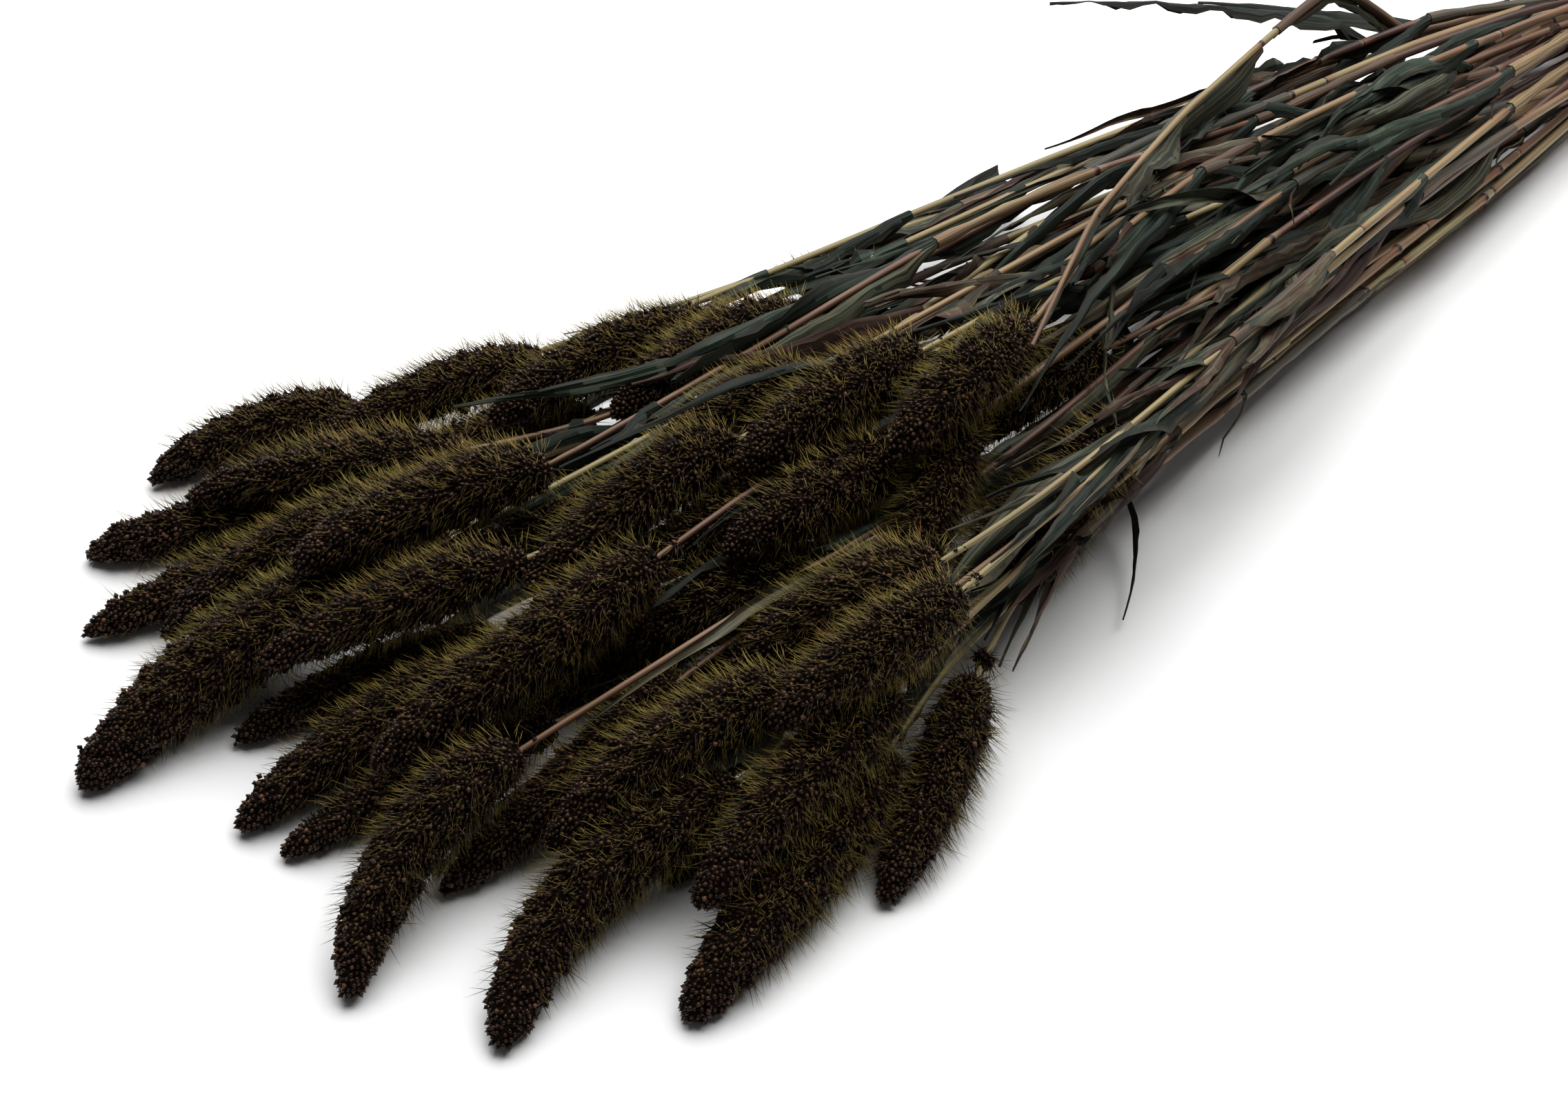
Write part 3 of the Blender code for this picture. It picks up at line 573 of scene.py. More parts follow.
def culm_material():
    """Straw: hard, waxy and ribbed, so that it shines softly and shows fine lengthwise fibres."""
    material, tree, shader = new_material("waxy dried straw")
    tone = add(tree, "ShaderNodeAttribute", attribute_name="tone")
    joint = add(tree, "ShaderNodeAttribute", attribute_name="joint")
    reach = add(tree, "ShaderNodeAttribute", attribute_name="reach")
    place = round_and_along(tree, reach)
    apart = add(tree, "ShaderNodeVectorMath", {0: place.outputs[0], 1: tone.outputs["Vector"]},
                operation="ADD")
    # Fibres 0.3 mm wide on a 1.5 mm radius, 40 mm long
    stretch = add(tree, "ShaderNodeMapping", {"Vector": apart.outputs[0], "Scale": (5.0, 5.0, 0.03)})
    fibre = add(tree, "ShaderNodeTexNoise", {"Vector": stretch.outputs[0], "Scale": 1.0, "Detail": 3.0})
    drift = add(tree, "ShaderNodeMapping", {"Vector": apart.outputs[0], "Scale": (0.3, 0.3, 0.012)})
    stain = add(tree, "ShaderNodeTexNoise", {"Vector": drift.outputs[0], "Scale": 1.0, "Detail": 4.0})
    varied = drifting(tree, tone, stain, 1.1)
    # Straw is browner towards its foot
    older = add(tree, "ShaderNodeMapRange", {"Value": reach.outputs["Fac"], "From Min": 60.0,
                                             "From Max": 320.0, "To Min": 0.34, "To Max": -0.18})
    aged = add(tree, "ShaderNodeMath", {0: varied.outputs[0], 1: older.outputs[0]}, operation="ADD")
    straw = add(tree, "ShaderNodeValToRGB", {"Fac": aged.outputs[0]}, stops=(
        (0.0, "#9d9164"), (1.0, "#422820"), (0.25, "#9f8560"), (0.5, "#826144"), (0.75, "#644133")))
    nearby = add(tree, "ShaderNodeMapRange", {"Value": joint.outputs["Fac"], "From Min": -JOINT_SHOWS,
                                              "From Max": JOINT_SHOWS})
    ring = add(tree, "ShaderNodeValToRGB", {"Fac": nearby.outputs[0]}, stops=(
        (0.40, "#a89678"), (1.0, "#8a603e"), (0.47, "#a18a6c"), (0.482, "#1c110e"), (0.515, "#1c110e"),
        (0.535, "#8f5531")))
    strength = add(tree, "ShaderNodeValToRGB", {"Fac": nearby.outputs[0]}, stops=(
        (0.36, "#000000"), (0.97, "#000000"), (0.46, "#c0c0c0"), (0.48, "#ffffff"), (0.52, "#ffffff"),
        (0.60, "#c8c8c8")))
    ringed = add(tree, "ShaderNodeMix", {0: strength.outputs[0], 6: straw.outputs[0], 7: ring.outputs[0]},
                 data_type="RGBA")
    streaked = lined(tree, ringed.outputs[2], fibre, 0.75, ((0.3, "#8c8479"), (0.7, "#fffaf0")))
    rough = add(tree, "ShaderNodeMapRange", {"Value": fibre.outputs["Fac"], "To Min": 0.38, "To Max": 0.62})
    ribs = add(tree, "ShaderNodeBump", {"Height": fibre.outputs["Fac"], "Distance": 0.0002, "Strength": 0.5})
    tree.links.new(streaked.outputs[2], shader.inputs["Base Color"])
    tree.links.new(rough.outputs[0], shader.inputs["Roughness"])
    tree.links.new(ribs.outputs[0], shader.inputs["Normal"])
    shader.inputs["IOR"].default_value = 1.5
    return material


def stem_tree():
    """Skins a line with a round section of the radius written on it."""
    tree, given, result = new_tree("stem", {"Sides": "NodeSocketInt", "Finish": "NodeSocketMaterial"})
    line = add(tree, "GeometryNodeMeshToCurve", {"Mesh": given["Geometry"]})
    radius = add(tree, "GeometryNodeInputNamedAttribute", {"Name": "radius"}, data_type="FLOAT")
    circle = add(tree, "GeometryNodeCurvePrimitiveCircle", {"Resolution": given["Sides"], "Radius": 1.0})
    place = add(tree, "GeometryNodeInputPosition")
    marked = add(tree, "GeometryNodeStoreNamedAttribute", {
        "Geometry": circle.outputs["Curve"], "Name": "around", "Value": place.outputs[0]},
        data_type="FLOAT_VECTOR", domain="POINT")
    skin = add(tree, "GeometryNodeCurveToMesh", {
        "Curve": line.outputs[0], "Profile Curve": marked.outputs[0], "Scale": radius.outputs["Attribute"],
        "Fill Caps": True})
    smooth = add(tree, "GeometryNodeSetShadeSmooth", {"Geometry": skin.outputs[0]})
    whole = add(tree, "GeometryNodeRealizeInstances", {"Geometry": smooth.outputs[0]})
    finished = add(tree, "GeometryNodeSetMaterial", {"Geometry": whole.outputs[0],
                                                     "Material": given["Finish"]})
    tree.links.new(finished.outputs[0], result)
    return tree


def kink(stalk, own_blades, rng):
    """Bends a culm a little at each of its joints, and moves what grows there with it."""
    marks = sorted({1, *stalk["joints"], STALK_POINTS - 1})
    moves = np.zeros((len(marks), 3))
    for row, k in enumerate(marks[1:-1], 1):
        across, aside = rng.uniform(-KINK_ACROSS, KINK_ACROSS), stalk["points"][k][1] - middle_line[k][1]
        if abs(aside) > KINK_EDGE:
            across = -abs(across) * math.copysign(KINK_AT_EDGE, aside)
        moves[row] = 0.0, across, rng.uniform(-KINK_UP, KINK_UP)
    k = np.arange(len(stalk["points"]))
    move = np.stack([np.interp(k, marks, moves[:, c]) for c in range(3)], axis=1)
    stalk["points"] = stalk["points"] + move
    stalk["points"][:STALK_POINTS, 2] = np.maximum(stalk["points"][:STALK_POINTS, 2], CULM_RADIUS)
    for blade in own_blades:
        fading = np.linspace(1, 0, BLADE_POINTS)[:, None]
        blade["points"] = blade["points"] + move[blade["joint"]] * fading


def culm_line(stalk, joints, tone):
    """Places down a culm and their radius, distance, distance from a joint, and tone."""
    line, reach = line_through(stalk["points"], ROUNDED)
    at_point = reach[::LINE_STEPS]
    end = at_point[STALK_POINTS - 1] + CULM_INTO_HEAD
    rings = [(at_point[k] + away, swell) for k in joints for away, swell in JOINT_PROFILE]
    plain = [s for s in np.arange(0, end, CULM_STEP) if all(abs(s - r) > JOINT_ROOM for r, _ in rings)]
    at = np.array(sorted(plain + [r for r, _ in rings] + [end]))
    radii = [stalk_radius(k) for k in range(STALK_POINTS)] + [NECK_RADIUS * HIDDEN_SHARE] * (HEAD_POINTS - 1)
    swelling = dict(rings)
    radius = np.interp(at, at_point, radii) * [swelling.get(s, 1.0) for s in at]
    joint = np.full(len(at), JOINT_SHOWS)
    for k in joints:
        nearer = np.abs(at - at_point[k]) < np.abs(joint)
        joint[nearer] = (at - at_point[k])[nearer]
    return {"places": places_at(line, reach, at), "radius": radius * MM, "reach": at, "joint": joint,
            "tone": np.full(len(at), tone)}


def shoot_line(shoot, tones):
    """The same for the slim side shoot that leaves its culm at the back and crosses over the bunch."""
    line, reach = line_through(shoot["points"], SHOOT_ROUNDED)
    at = np.arange(0, reach[-1], SHOOT_STEP)
    radius = np.interp(at, [0, reach[-1]], SHOOT_RADII)
    collar = SHOOT_COLLAR * reach[-1]
    return {"places": places_at(line, reach, at), "radius": radius * MM, "reach": at + SHOOT_STARTS,
            "joint": np.clip(at - collar, -JOINT_SHOWS, JOINT_SHOWS),
            "tone": np.interp(at, [collar, reach[-1]], tones)}


def joined_lines(lines):
    """One set of places, edges and values from several lines."""
    places = np.vstack([line["places"] for line in lines])
    edges, first = [], 0
    for line in lines:
        edges += [(first + k, first + k + 1) for k in range(len(line["places"]) - 1)]
        first += len(line["places"])
    values = {key: np.concatenate([line[key] for line in lines]) for key in lines[0] if key != "places"}
    return places, edges, values


straw = culm_material()
stems = stem_tree()
culm_rng = random.Random(31)
middle_line = np.mean([stalk["points"][:STALK_POINTS] for stalk in stalks], axis=0)
for n, stalk in enumerate(stalks):
    with_blade = {blade["joint"] for blade in blades if blade["stalk"] == n}
    more = culm_rng.sample(CULM_JOINTS, culm_rng.randint(*JOINTS_MORE))
    stalk["joints"] = sorted(with_blade | set(more))
    stalk["tone"] = CULM_TONES.get(n + 1, culm_rng.random())
    kink(stalk, [blade for blade in blades if blade["stalk"] == n], culm_rng)
    base, tip = stalk["points"][STALK_POINTS - 1], stalk["points"][-1]
    t = np.linspace(0, 1, HEAD_POINTS)[:, None]
    side = unit(np.array([base[1] - tip[1], tip[0] - base[0], 0.0]))
    stalk["points"][STALK_POINTS - 1:] += side * 4 * t * (1 - t) * HEAD_BOWS.get(n + 1, 0.0)
shoot = next(blade for blade in blades[-len(LOOSE_BLADES):] if blade["stalk"] == SHOOT - 1)
shoot["points"][1] = shoot["points"][1] + SHOOT_RISES
for number, members in enumerate(clusters(), 1):
    lines = [culm_line(stalks[n], stalks[n]["joints"], stalks[n]["tone"]) for n in members]
    lines += [shoot_line(shoot, SHOOT_TONES)] if SHOOT - 1 in members else []
    places, edges, values = joined_lines(lines)
    culms = grow(f"culms_{number:02d}", bare_mesh("lines", places, edges, [], values), stems,
                 {"Sides": CULM_SIDES, "Finish": straw})
    rest_on_floor(culms)
    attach(culms, "root")
    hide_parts(f"stalks_{number:02d}")


# Sheaths and blades
# Each leaf starts as a sheath wrapped round the culm above a joint, ends in a collar and goes on as a long
# blade. Dry, it is papery and ribbed, and has folded, rolled, crinkled and torn as it lost its water.
SHEATH_STEP = 7.0
SHEATH_STANDS = 0.5
COLLAR_STANDS = 1.0
SHEATH_WAVE = 0.35
SHEATH_LEAST = 0.25
SHEATH_ABOVE = 2.0

# A blade's section: how it opens from its collar, folds, rolls, crinkles and twists, and where it tore off
BLADE_STEP = 5.0
BLADE_ACROSS = 7
LEAF_THICK = 0.2
LEAF_LOWEST = 0.3
COLLAR_ROLL = 2.5
COLLAR_OPENS = 16.0
WIDER = 1.2
FOLD = (0.2, 1.2)
ROLL = (0.1, 1.0)
CRINKLE = (0.3, 1.5)
CRUMPLE = 0.35
SHARP_FOLD = math.radians(18)
LONG_WAVES = (22.0, 50.0)
SHORT_WAVES = (8.0, 14.0)
WIDTH_WAVE = 0.05
WANDER = 0.4
PLEAT = 0.45
TWIST_AT = (0.15, 0.8)
TWIST_OVER = (0.1, 0.5)
TORN_SHARE = 0.2
TORN_AT = (0.6, 0.85)
TORN_RAGGED = 3.0

# Blades that dried along their own stalk, one for each group of joints that it may grow from
HUG_JOINTS = ((2, 3, 4), (4, 5, 6), (5, 6, 7), (6, 7, 8))
HUG_LENGTHS = (80.0, 180.0)
HUG_AWAY = (1.0, 7.0)
HUG_SWING = (-12.0, 12.0)
HUG_WANDER = ((-2.0, 2.0), (-1.0, 2.0))
HUG_HALF_WIDTHS = (1.8, 4.2)
HUG_TWIST = (-3.0, 3.0)
HUG_SHEATHED = 0.3
HUG_STOPS = 12.0
HUG_TRIES = 6
BARE_CULMS = (16, 19, 20, 21)
BARE_BELOW = 6

# Leaves of the side shoot: from and to along it, how far aside, half width
SHOOT_LEAVES = (
    (0.33, 0.62, -1.0, 5.4),
    (0.5, 0.74, 2.0, 4.6),
    (0.02, 0.3, 0.4, 3.4),
    (0.66, 0.98, -1.0, 1.8),
)
SHOOT_LEAF_UNDER = -2.2
SHOOT_LEAF_TWIST = 0.4
SHOOT_LEAF_TONE = 0.72
SHOOT_SHEATH_TONES = (0.5, 0.5)

# Leaves that slipped under the others to the floor, at the darkest leaf tone, which partly paints in the
# shade of the slits under the bunch: head number, joint, places after the joint, half width
FLOOR_LEAVES = (
    (2, 2, ((368, 62, 38), (344, 78, 42), (316, 98, 46), (284, 122, 48)), 6.5),
    (10, 7, ((-58, 38, 4), (-90, 40, 2), (-122, 35, 2), (-158, 27, 2)), 7.5),
    (12, 8, ((-112, -34, 3), (-132, -38, 2), (-150, -43, 2), (-166, -51, 2)), 5.5),
    (15, 8, ((-57, -59, 3), (-82, -62, 2), (-105, -67, 2), (-126, -73, 2)), 7.0),
    (21, 8, ((-50, -96, 6), (-75, -104, 2), (-88, -107, 2), (-102, -110, 2)), 4.5),
    (35, 6, ((110, 50, 8), (86, 40, 4), (62, 35, 2), (36, 33, 2)), 6.0),
    (38, 7, ((104, -22, 8), (80, -28, 3), (60, -31, 2), (38, -34, 2)), 6.0),
    (37, 6, ((144, 4, 8), (106, -2, 3), (72, 4, 2), (33, 5, 2)), 5.5),
    (34, 8, ((6, 102, 4), (-14, 103, 2), (-30, 104, 2), (-45, 104, 2)), 4.5),
    (34, 7, ((38, 93, 5), (12, 91, 3), (-12, 88, 2), (-37, 82, 2)), 5.5),
    (24, 5, ((157, -12, 8), (108, -31, 4), (68, -41, 2), (28, -47, 2)), 6.5),
    (29, 5, ((196, 76, 6), (156, 61, 3), (126, 60, 2), (94, 60, 2)), 6.5),
    (41, 7, ((-8, -10, 5), (-32, -12, 3), (-60, -16, 2), (-98, -20, 2)), 5.5),
    (35, 7, ((24, 36, 4), (-3, 33, 2), (-24, 29, 2), (-50, 27, 2)), 6.0),
    (1, 5, ((182, 112, 12), (157, 115, 8), (142, 116, 5), (122, 117, 3)), 5.5),
)
FLOOR_LEAF_SHADE_TONE = 0.1
FLOOR_LEAF_TWIST = 0.3

# Blades that pass near a head are slim and dark, and one at the edge of the fan is wide and dark
CROSSING_NEAR = 8.0
CROSSING_NARROWER = 0.7
CROSSING_TONE = 0.15
EDGE_LEAF_WIDER = 1.3
EDGE_LEAF_TWIST = 0.2
EDGE_LEAF_TONE = 0.12

# Blades that left their stalk at an angle and dried lying over the others
DRAPED = 46
DRAPED_JOINTS = (3, 3, 4, 4, 5, 5, 6, 6, 7)
DRAPED_LENGTHS = (60.0, 150.0)
DRAPED_TRIES = 30
DRAPED_TURN = (-30.0, 30.0)
DRAPED_BEND = 14.0
DRAPED_HALF_WIDTHS = (2.4, 5.2)
DRAPED_TWIST = (-2.5, 2.5)
DRAPED_DEPTH = (0.6, 1.0)
DRAPED_LIFT = (0.5, 3.0)
DRAPED_DROOP = 0.25
HEAD_CLEAR = 1.0
UNDER_LEAF = 11.0
NEAR_TOP = 14.0

# Torn fibres that curl off the collars
SHREDS = 46
SHRED_LENGTHS = (14.0, 46.0)
SHRED_HALF_WIDTHS = (0.4, 1.1)
SHRED_TWIST = (-3.0, 3.0)
SHRED_TONES = (0.5, 1.0)
SHRED_STARTS = 1.5
SHRED_CURL = 0.5


def leaf_material():
    """Dry leaf: dull and papery, ribbed lengthwise, grey-green to bottle green, browned at its edges."""
    material, tree, shader = new_material("papery dried leaf")
    tone = add(tree, "ShaderNodeAttribute", attribute_name="tone")
    edge = add(tree, "ShaderNodeAttribute", attribute_name="edge")
    grown = add(tree, "ShaderNodeAttribute", attribute_name="grown")
    apart = add(tree, "ShaderNodeVectorMath", {0: tone.outputs["Vector"], "Scale": 40.0}, operation="SCALE")
    own = add(tree, "ShaderNodeVectorMath", {0: grown.outputs["Vector"], 1: apart.outputs[0]},
              operation="ADD")
    # Veins are 0.3 mm apart; they are drawn 0.8 mm apart, so that they show, and run on for 60 mm. Their
    # light and dark lines are partly the veins' own colour and partly painted highlight and shade of the ribs
    stretch = add(tree, "ShaderNodeMapping", {"Vector": own.outputs[0], "Scale": (1.3, 0.3, 0.016)})
    vein = add(tree, "ShaderNodeTexNoise", {"Vector": stretch.outputs[0], "Scale": 1.0, "Detail": 3.0})
    patch = add(tree, "ShaderNodeMapping", {"Vector": own.outputs[0], "Scale": (0.25, 0.3, 0.045)})
    faded = add(tree, "ShaderNodeTexNoise", {"Vector": patch.outputs[0], "Scale": 1.0, "Detail": 5.0,
                                             "Roughness": 0.6})
    varied = drifting(tree, tone, faded, 0.9)
    leaf = add(tree, "ShaderNodeValToRGB", {"Fac": varied.outputs[0]}, stops=(
        (0.0, "#17231b"), (1.0, "#452e25"), (0.25, "#253228"), (0.45, "#354236"), (0.62, "#505645"),
        (0.78, "#67614c"), (0.9, "#574334")))
    browned = add(tree, "ShaderNodeMath", {0: edge.outputs["Fac"], 1: faded.outputs["Fac"]},
                  operation="MULTIPLY")
    burnt = add(tree, "ShaderNodeMix", {0: browned.outputs[0], 6: leaf.outputs[0], 7: linear("#33201a")},
                data_type="RGBA")
    # Lines along the veins: partly vein colour, partly painted highlight and shade of the ribbed relief
    veined = lined(tree, burnt.outputs[2], vein, 0.8, ((0.4, "#40403c"), (0.6, "#ffffff")))
    rough = add(tree, "ShaderNodeMapRange", {"Value": faded.outputs["Fac"], "To Min": 0.55, "To Max": 0.8})
    ribs = add(tree, "ShaderNodeBump", {"Height": vein.outputs["Fac"], "Distance": 0.0004, "Strength": 0.8})
    tree.links.new(veined.outputs[2], shader.inputs["Base Color"])
    tree.links.new(rough.outputs[0], shader.inputs["Roughness"])
    tree.links.new(ribs.outputs[0], shader.inputs["Normal"])
    shader.inputs["Specular IOR Level"].default_value = 0.25
    shader.inputs["IOR"].default_value = 1.45
    return material


def frames(points, first_side):
    """A way along, a way to the side and a way out at each point, turning as little as they can."""
    along = [unit(v) for v in np.gradient(points, axis=0)]
    side, sides, outs = first_side, [], []
    for way in along:
        side = unit(side - way * float((side * way).sum()))
        sides.append(side)
        outs.append(np.cross(way, side))
    return np.array(along), np.array(sides), np.array(outs)


def skin(count, around):
    """Faces over rings of corners, one ring after the other, with flat ends."""
    faces = [(k * around + n, k * around + (n + 1) % around, (k + 1) * around + (n + 1) % around,
              (k + 1) * around + n) for k in range(count - 1) for n in range(around)]
    last = (count - 1) * around
    return faces + [tuple(range(around - 1, -1, -1)), tuple(range(last, last + around))]


def leaf(points, half, twist, collar, tone, rng):
    """A blade's corners, faces and values: two thin faces over a section that rolls, folds and crinkles."""
    line, reach = line_through(points)
    length = reach[-1] * (rng.uniform(*TORN_AT) if rng.random() < TORN_SHARE else 1.0)
    torn = length < reach[-1]
    at = np.linspace(0, length, max(5, round(length / BLADE_STEP)))
    along, sides, outs = frames(places_at(line, reach, at), np.array([0.0, 1.0, 0.0]))
    fold, final_roll, crinkle = rng.uniform(*FOLD), rng.uniform(*ROLL), rng.uniform(*CRINKLE)
    long_wave, short_wave = rng.uniform(*LONG_WAVES), rng.uniform(*SHORT_WAVES)
    twist_at, twist_over = rng.uniform(*TWIST_AT), rng.uniform(*TWIST_OVER)
    phases = [rng.uniform(0, math.tau) for _ in range(6)]
    u = np.linspace(-1, 1, BLADE_ACROSS)[None, :]
    s = at[:, None]
    opened = np.clip(s / COLLAR_OPENS, 0, 1) if collar else np.ones_like(s)
    opened = opened * opened * (3 - 2 * opened)
    widths = np.array([blade_width(t) for t in at / reach[-1]])[:, None] * half * WIDER
    widths = widths * (1 + WIDTH_WAVE * np.sin(s / long_wave * math.tau + phases[0]))
    widths = widths * opened + COLLAR_ROLL * collar * (1 - opened)
    roll = COLLAR_ROLL + (final_roll - COLLAR_ROLL) * opened
    radius = widths / roll
    x = radius * np.sin(roll * u)
    y = radius * (1 - np.cos(roll * u)) - radius * (1 - opened)
    hand = np.where(u > 0, 1.0, -1.0)
    waves = (np.sin(s / long_wave * math.tau + phases[1] + hand * phases[2])
             + 0.5 * np.sin(s / short_wave * math.tau + phases[3] + hand * phases[4]))
    y = y + opened * (fold * np.abs(x) + crinkle * np.abs(u) ** 1.5 * waves * np.minimum(1, widths / 2)
                      + PLEAT * np.cos(u * math.tau) * np.minimum(1, widths / 3))
    x = x + opened * WANDER * np.sin(s / long_wave * math.tau * 0.7 + phases[5])
    creases = np.array([[rng.uniform(-1, 1) for _ in range(BLADE_ACROSS)] for _ in at])
    y = y + opened * CRUMPLE * creases * np.minimum(1, widths / 2)
    turn = twist / (1 + np.exp((twist_at - at[:, None] / reach[-1]) * 6 / twist_over))
    across = x * np.cos(turn) - y * np.sin(turn)
    up = x * np.sin(turn) + y * np.cos(turn)
    thick_x, thick_y = -np.sin(turn) * LEAF_THICK, np.cos(turn) * LEAF_THICK
    ragged = np.array([rng.uniform(-1, 1) for _ in range(BLADE_ACROSS)]) * TORN_RAGGED * torn
    middle = places_at(line, reach, at)
    rows = []
    for k in range(len(at)):
        pull = along[k] * (ragged[:, None] if k == len(at) - 1 else 0)
        upper = (middle[k] + sides[k] * (across[k] + thick_x[k])[:, None]
                 + outs[k] * (up[k] + thick_y[k])[:, None] + pull)
        lower = middle[k] + sides[k] * across[k][:, None] + outs[k] * up[k][:, None] + pull
        rows.append(np.vstack([lower, upper[::-1]]))
    corners = np.vstack(rows)
    both = np.concatenate([u[0], u[0][::-1]])
    grown = np.stack([(widths * both).ravel(), np.repeat([[0.0] * BLADE_ACROSS + [1.0] * BLADE_ACROSS],
                                                         len(at), axis=0).ravel(),
                      np.repeat(at, 2 * BLADE_ACROSS)], axis=1)
    edge = np.tile(np.abs(both) ** 3, len(at))
    corners[:, 2] = np.maximum(corners[:, 2], LEAF_LOWEST)
    return corners, skin(len(at), 2 * BLADE_ACROSS), {
        "grown": grown, "edge": edge, "tone": np.full(len(corners), tone)}


def sheath_line(stalk, joint, tone, rng):
    """Places down a sheath, from the joint below up to the collar, and their radius and tone."""
    line, reach = line_through(stalk["points"])
    at_point = reach[::LINE_STEPS]
    low, high = at_point[joint - 1] + SHEATH_ABOVE, at_point[joint]
    at = np.linspace(low, high, max(4, round((high - low) / SHEATH_STEP)))
    radii = [stalk_radius(k) for k in range(STALK_POINTS)]
    stands = SHEATH_STANDS + SHEATH_WAVE * np.array([rng.uniform(-1, 1) for _ in at])
    stands[-2:] = COLLAR_STANDS
    radius = np.interp(at, at_point[:STALK_POINTS], radii) + np.maximum(SHEATH_LEAST, stands)
    return {"places": places_at(line, reach, at), "radius": radius * MM, "reach": at,
            "tone": np.full(len(at), tone)}


def clear_of_heads(points, room=HEAD_CLEAR):
    """Whether a leaf keeps off every seed head."""
    line = line_through(points)[0]
    away = np.sqrt(((line[:, None] - head_places[None, :, :3]) ** 2).sum(2)) - head_places[None, :, 3]
    return away.min() > room


def hugging_points(stalk, joint, rng):
    """Points for a blade that lies along its own stalk, beside, under or over it."""
    line, reach = line_through(stalk["points"])
    start = reach[::LINE_STEPS][joint]
    room = reach[::LINE_STEPS][STALK_POINTS - 1] - HUG_STOPS - start
    at = start + np.linspace(0, min(room, rng.uniform(*HUG_LENGTHS)), BLADE_POINTS)
    points = places_at(line, reach, at)
    angle = rng.uniform(0, math.tau)
    outward = np.array([0.0, math.cos(angle), math.sin(angle)])
    t = np.linspace(0, 1, BLADE_POINTS)[:, None]
    swing = np.array([0, rng.uniform(*HUG_SWING), 0]) * t ** 1.5
    across, up = HUG_WANDER
    wander = np.array([[0, rng.uniform(*across), rng.uniform(*up)] for _ in range(BLADE_POINTS)]) * t
    return points + outward * rng.uniform(*HUG_AWAY) * t ** 0.7 + swing + wander


def draped_points(stalk, joint, culms_under, rng):
    """Points for a leaf that left its culm at an angle and dried lying over the others."""
    root = stalk["points"][joint]
    way = unit((stalk["points"][joint + 1] - root) * [1, 1, 0])
    for _ in range(DRAPED_TRIES):
        angle = math.atan2(way[1], way[0]) + math.radians(rng.uniform(*DRAPED_TURN))
        bend = math.radians(rng.uniform(-DRAPED_BEND, DRAPED_BEND))
        step = rng.uniform(*DRAPED_LENGTHS) / (BLADE_POINTS - 1)
        depth = rng.uniform(*DRAPED_DEPTH)
        points = [root]
        while len(points) < BLADE_POINTS:
            place = points[-1] + np.array([math.cos(angle), math.sin(angle), 0.0]) * step
            below = culms_under[(np.abs(culms_under[:, :2] - place[:2]) < UNDER_LEAF).all(axis=1)]
            if not len(below):
                break
            over = np.quantile(below[:, 2], depth) + rng.uniform(*DRAPED_LIFT)
            place[2] = max(over, points[-1][2] - DRAPED_DROOP * step)
            points.append(place)
            angle += bend
        if len(points) == BLADE_POINTS and clear_of_heads(np.array(points)):
            return np.array(points)
    return None


def shred_points(stalk, joint, rng):
    """Points for a torn fibre that curls off a collar."""
    root = stalk["points"][joint]
    way = unit(stalk["points"][joint + 1] - root)
    step = rng.uniform(*SHRED_LENGTHS) / (BLADE_POINTS - 1)
    bend = np.array([rng.uniform(-1, 1), rng.uniform(-1, 1), rng.uniform(-0.7, 1)]) * SHRED_CURL
    way = unit(way + bend)
    points = [root + unit(bend) * SHRED_STARTS]
    for _ in range(BLADE_POINTS - 1):
        points.append(points[-1] + way * step)
        way = unit(way + bend * [rng.uniform(-1, 1), rng.uniform(-1, 1), rng.uniform(-1, 0.3)])
    return np.array(points)


dry_leaf = leaf_material()
leaf_rng = random.Random(47)
head_places = []
for stalk in stalks:
    line, reach = line_through(stalk["points"][STALK_POINTS - 1:])
    radii = [stalk["wide"] / 2 * head_swelling(s / reach[-1]) for s in reach]
    head_places.append(np.column_stack([line, radii]))
head_places = np.vstack(head_places)
leaves = {n: [] for n in range(len(stalks))}
sheathed = {n: set() for n in range(len(stalks))}


def add_leaf(n, joint, points, half, twist, tone):
    """Hangs a leaf on a stalk, with its collar round the culm at that joint."""
    leaves[n].append(leaf(points, half, twist, stalk_radius(joint) + SHEATH_STANDS, tone, leaf_rng))


for blade in blades:
    sheathed[blade["stalk"]].add(blade["joint"])
    if blade is shoot:
        continue
    half, twist = blade["half"], blade["twist"]
    if blade is blades[-1]:
        half, twist, tone = half * EDGE_LEAF_WIDER, EDGE_LEAF_TWIST, EDGE_LEAF_TONE
    elif clear_of_heads(blade["points"], CROSSING_NEAR):
        tone = leaf_rng.random()
    else:
        half, tone = half * CROSSING_NARROWER, leaf_rng.random() * CROSSING_TONE
    add_leaf(blade["stalk"], blade["joint"], blade["points"], half, twist, tone)
shoot_path, shoot_reach = line_through(shoot["points"], SHOOT_ROUNDED)
for start, end, aside, half in SHOOT_LEAVES:
    points = places_at(shoot_path, shoot_reach, np.linspace(start, end, BLADE_POINTS) * shoot_reach[-1])
    points += np.outer(np.linspace(0, 1, BLADE_POINTS), [aside, aside, 0.0]) + [0, 0, SHOOT_LEAF_UNDER]
    leaves[SHOOT - 1].append(leaf(points, half, SHOOT_LEAF_TWIST * aside, SHOOT_RADII[0], SHOOT_LEAF_TONE,
                                  leaf_rng))
culms_under = np.vstack([line_through(stalk["points"][:STALK_POINTS])[0] for stalk in stalks])
upper = []
for n, stalk in enumerate(stalks):
    for joint in sorted(set(DRAPED_JOINTS)):
        place = stalk["points"][joint]
        below = culms_under[(np.abs(culms_under[:, :2] - place[:2]) < UNDER_LEAF).all(axis=1)]
        if below[:, 2].max() - place[2] < NEAR_TOP:
            upper += [(n, joint)] * DRAPED_JOINTS.count(joint)
for n, joint in leaf_rng.sample(upper, DRAPED):
    points = draped_points(stalks[n], joint, culms_under, leaf_rng)
    if points is not None:
        add_leaf(n, joint, points, leaf_rng.uniform(*DRAPED_HALF_WIDTHS), leaf_rng.uniform(*DRAPED_TWIST),
                 leaf_rng.random())
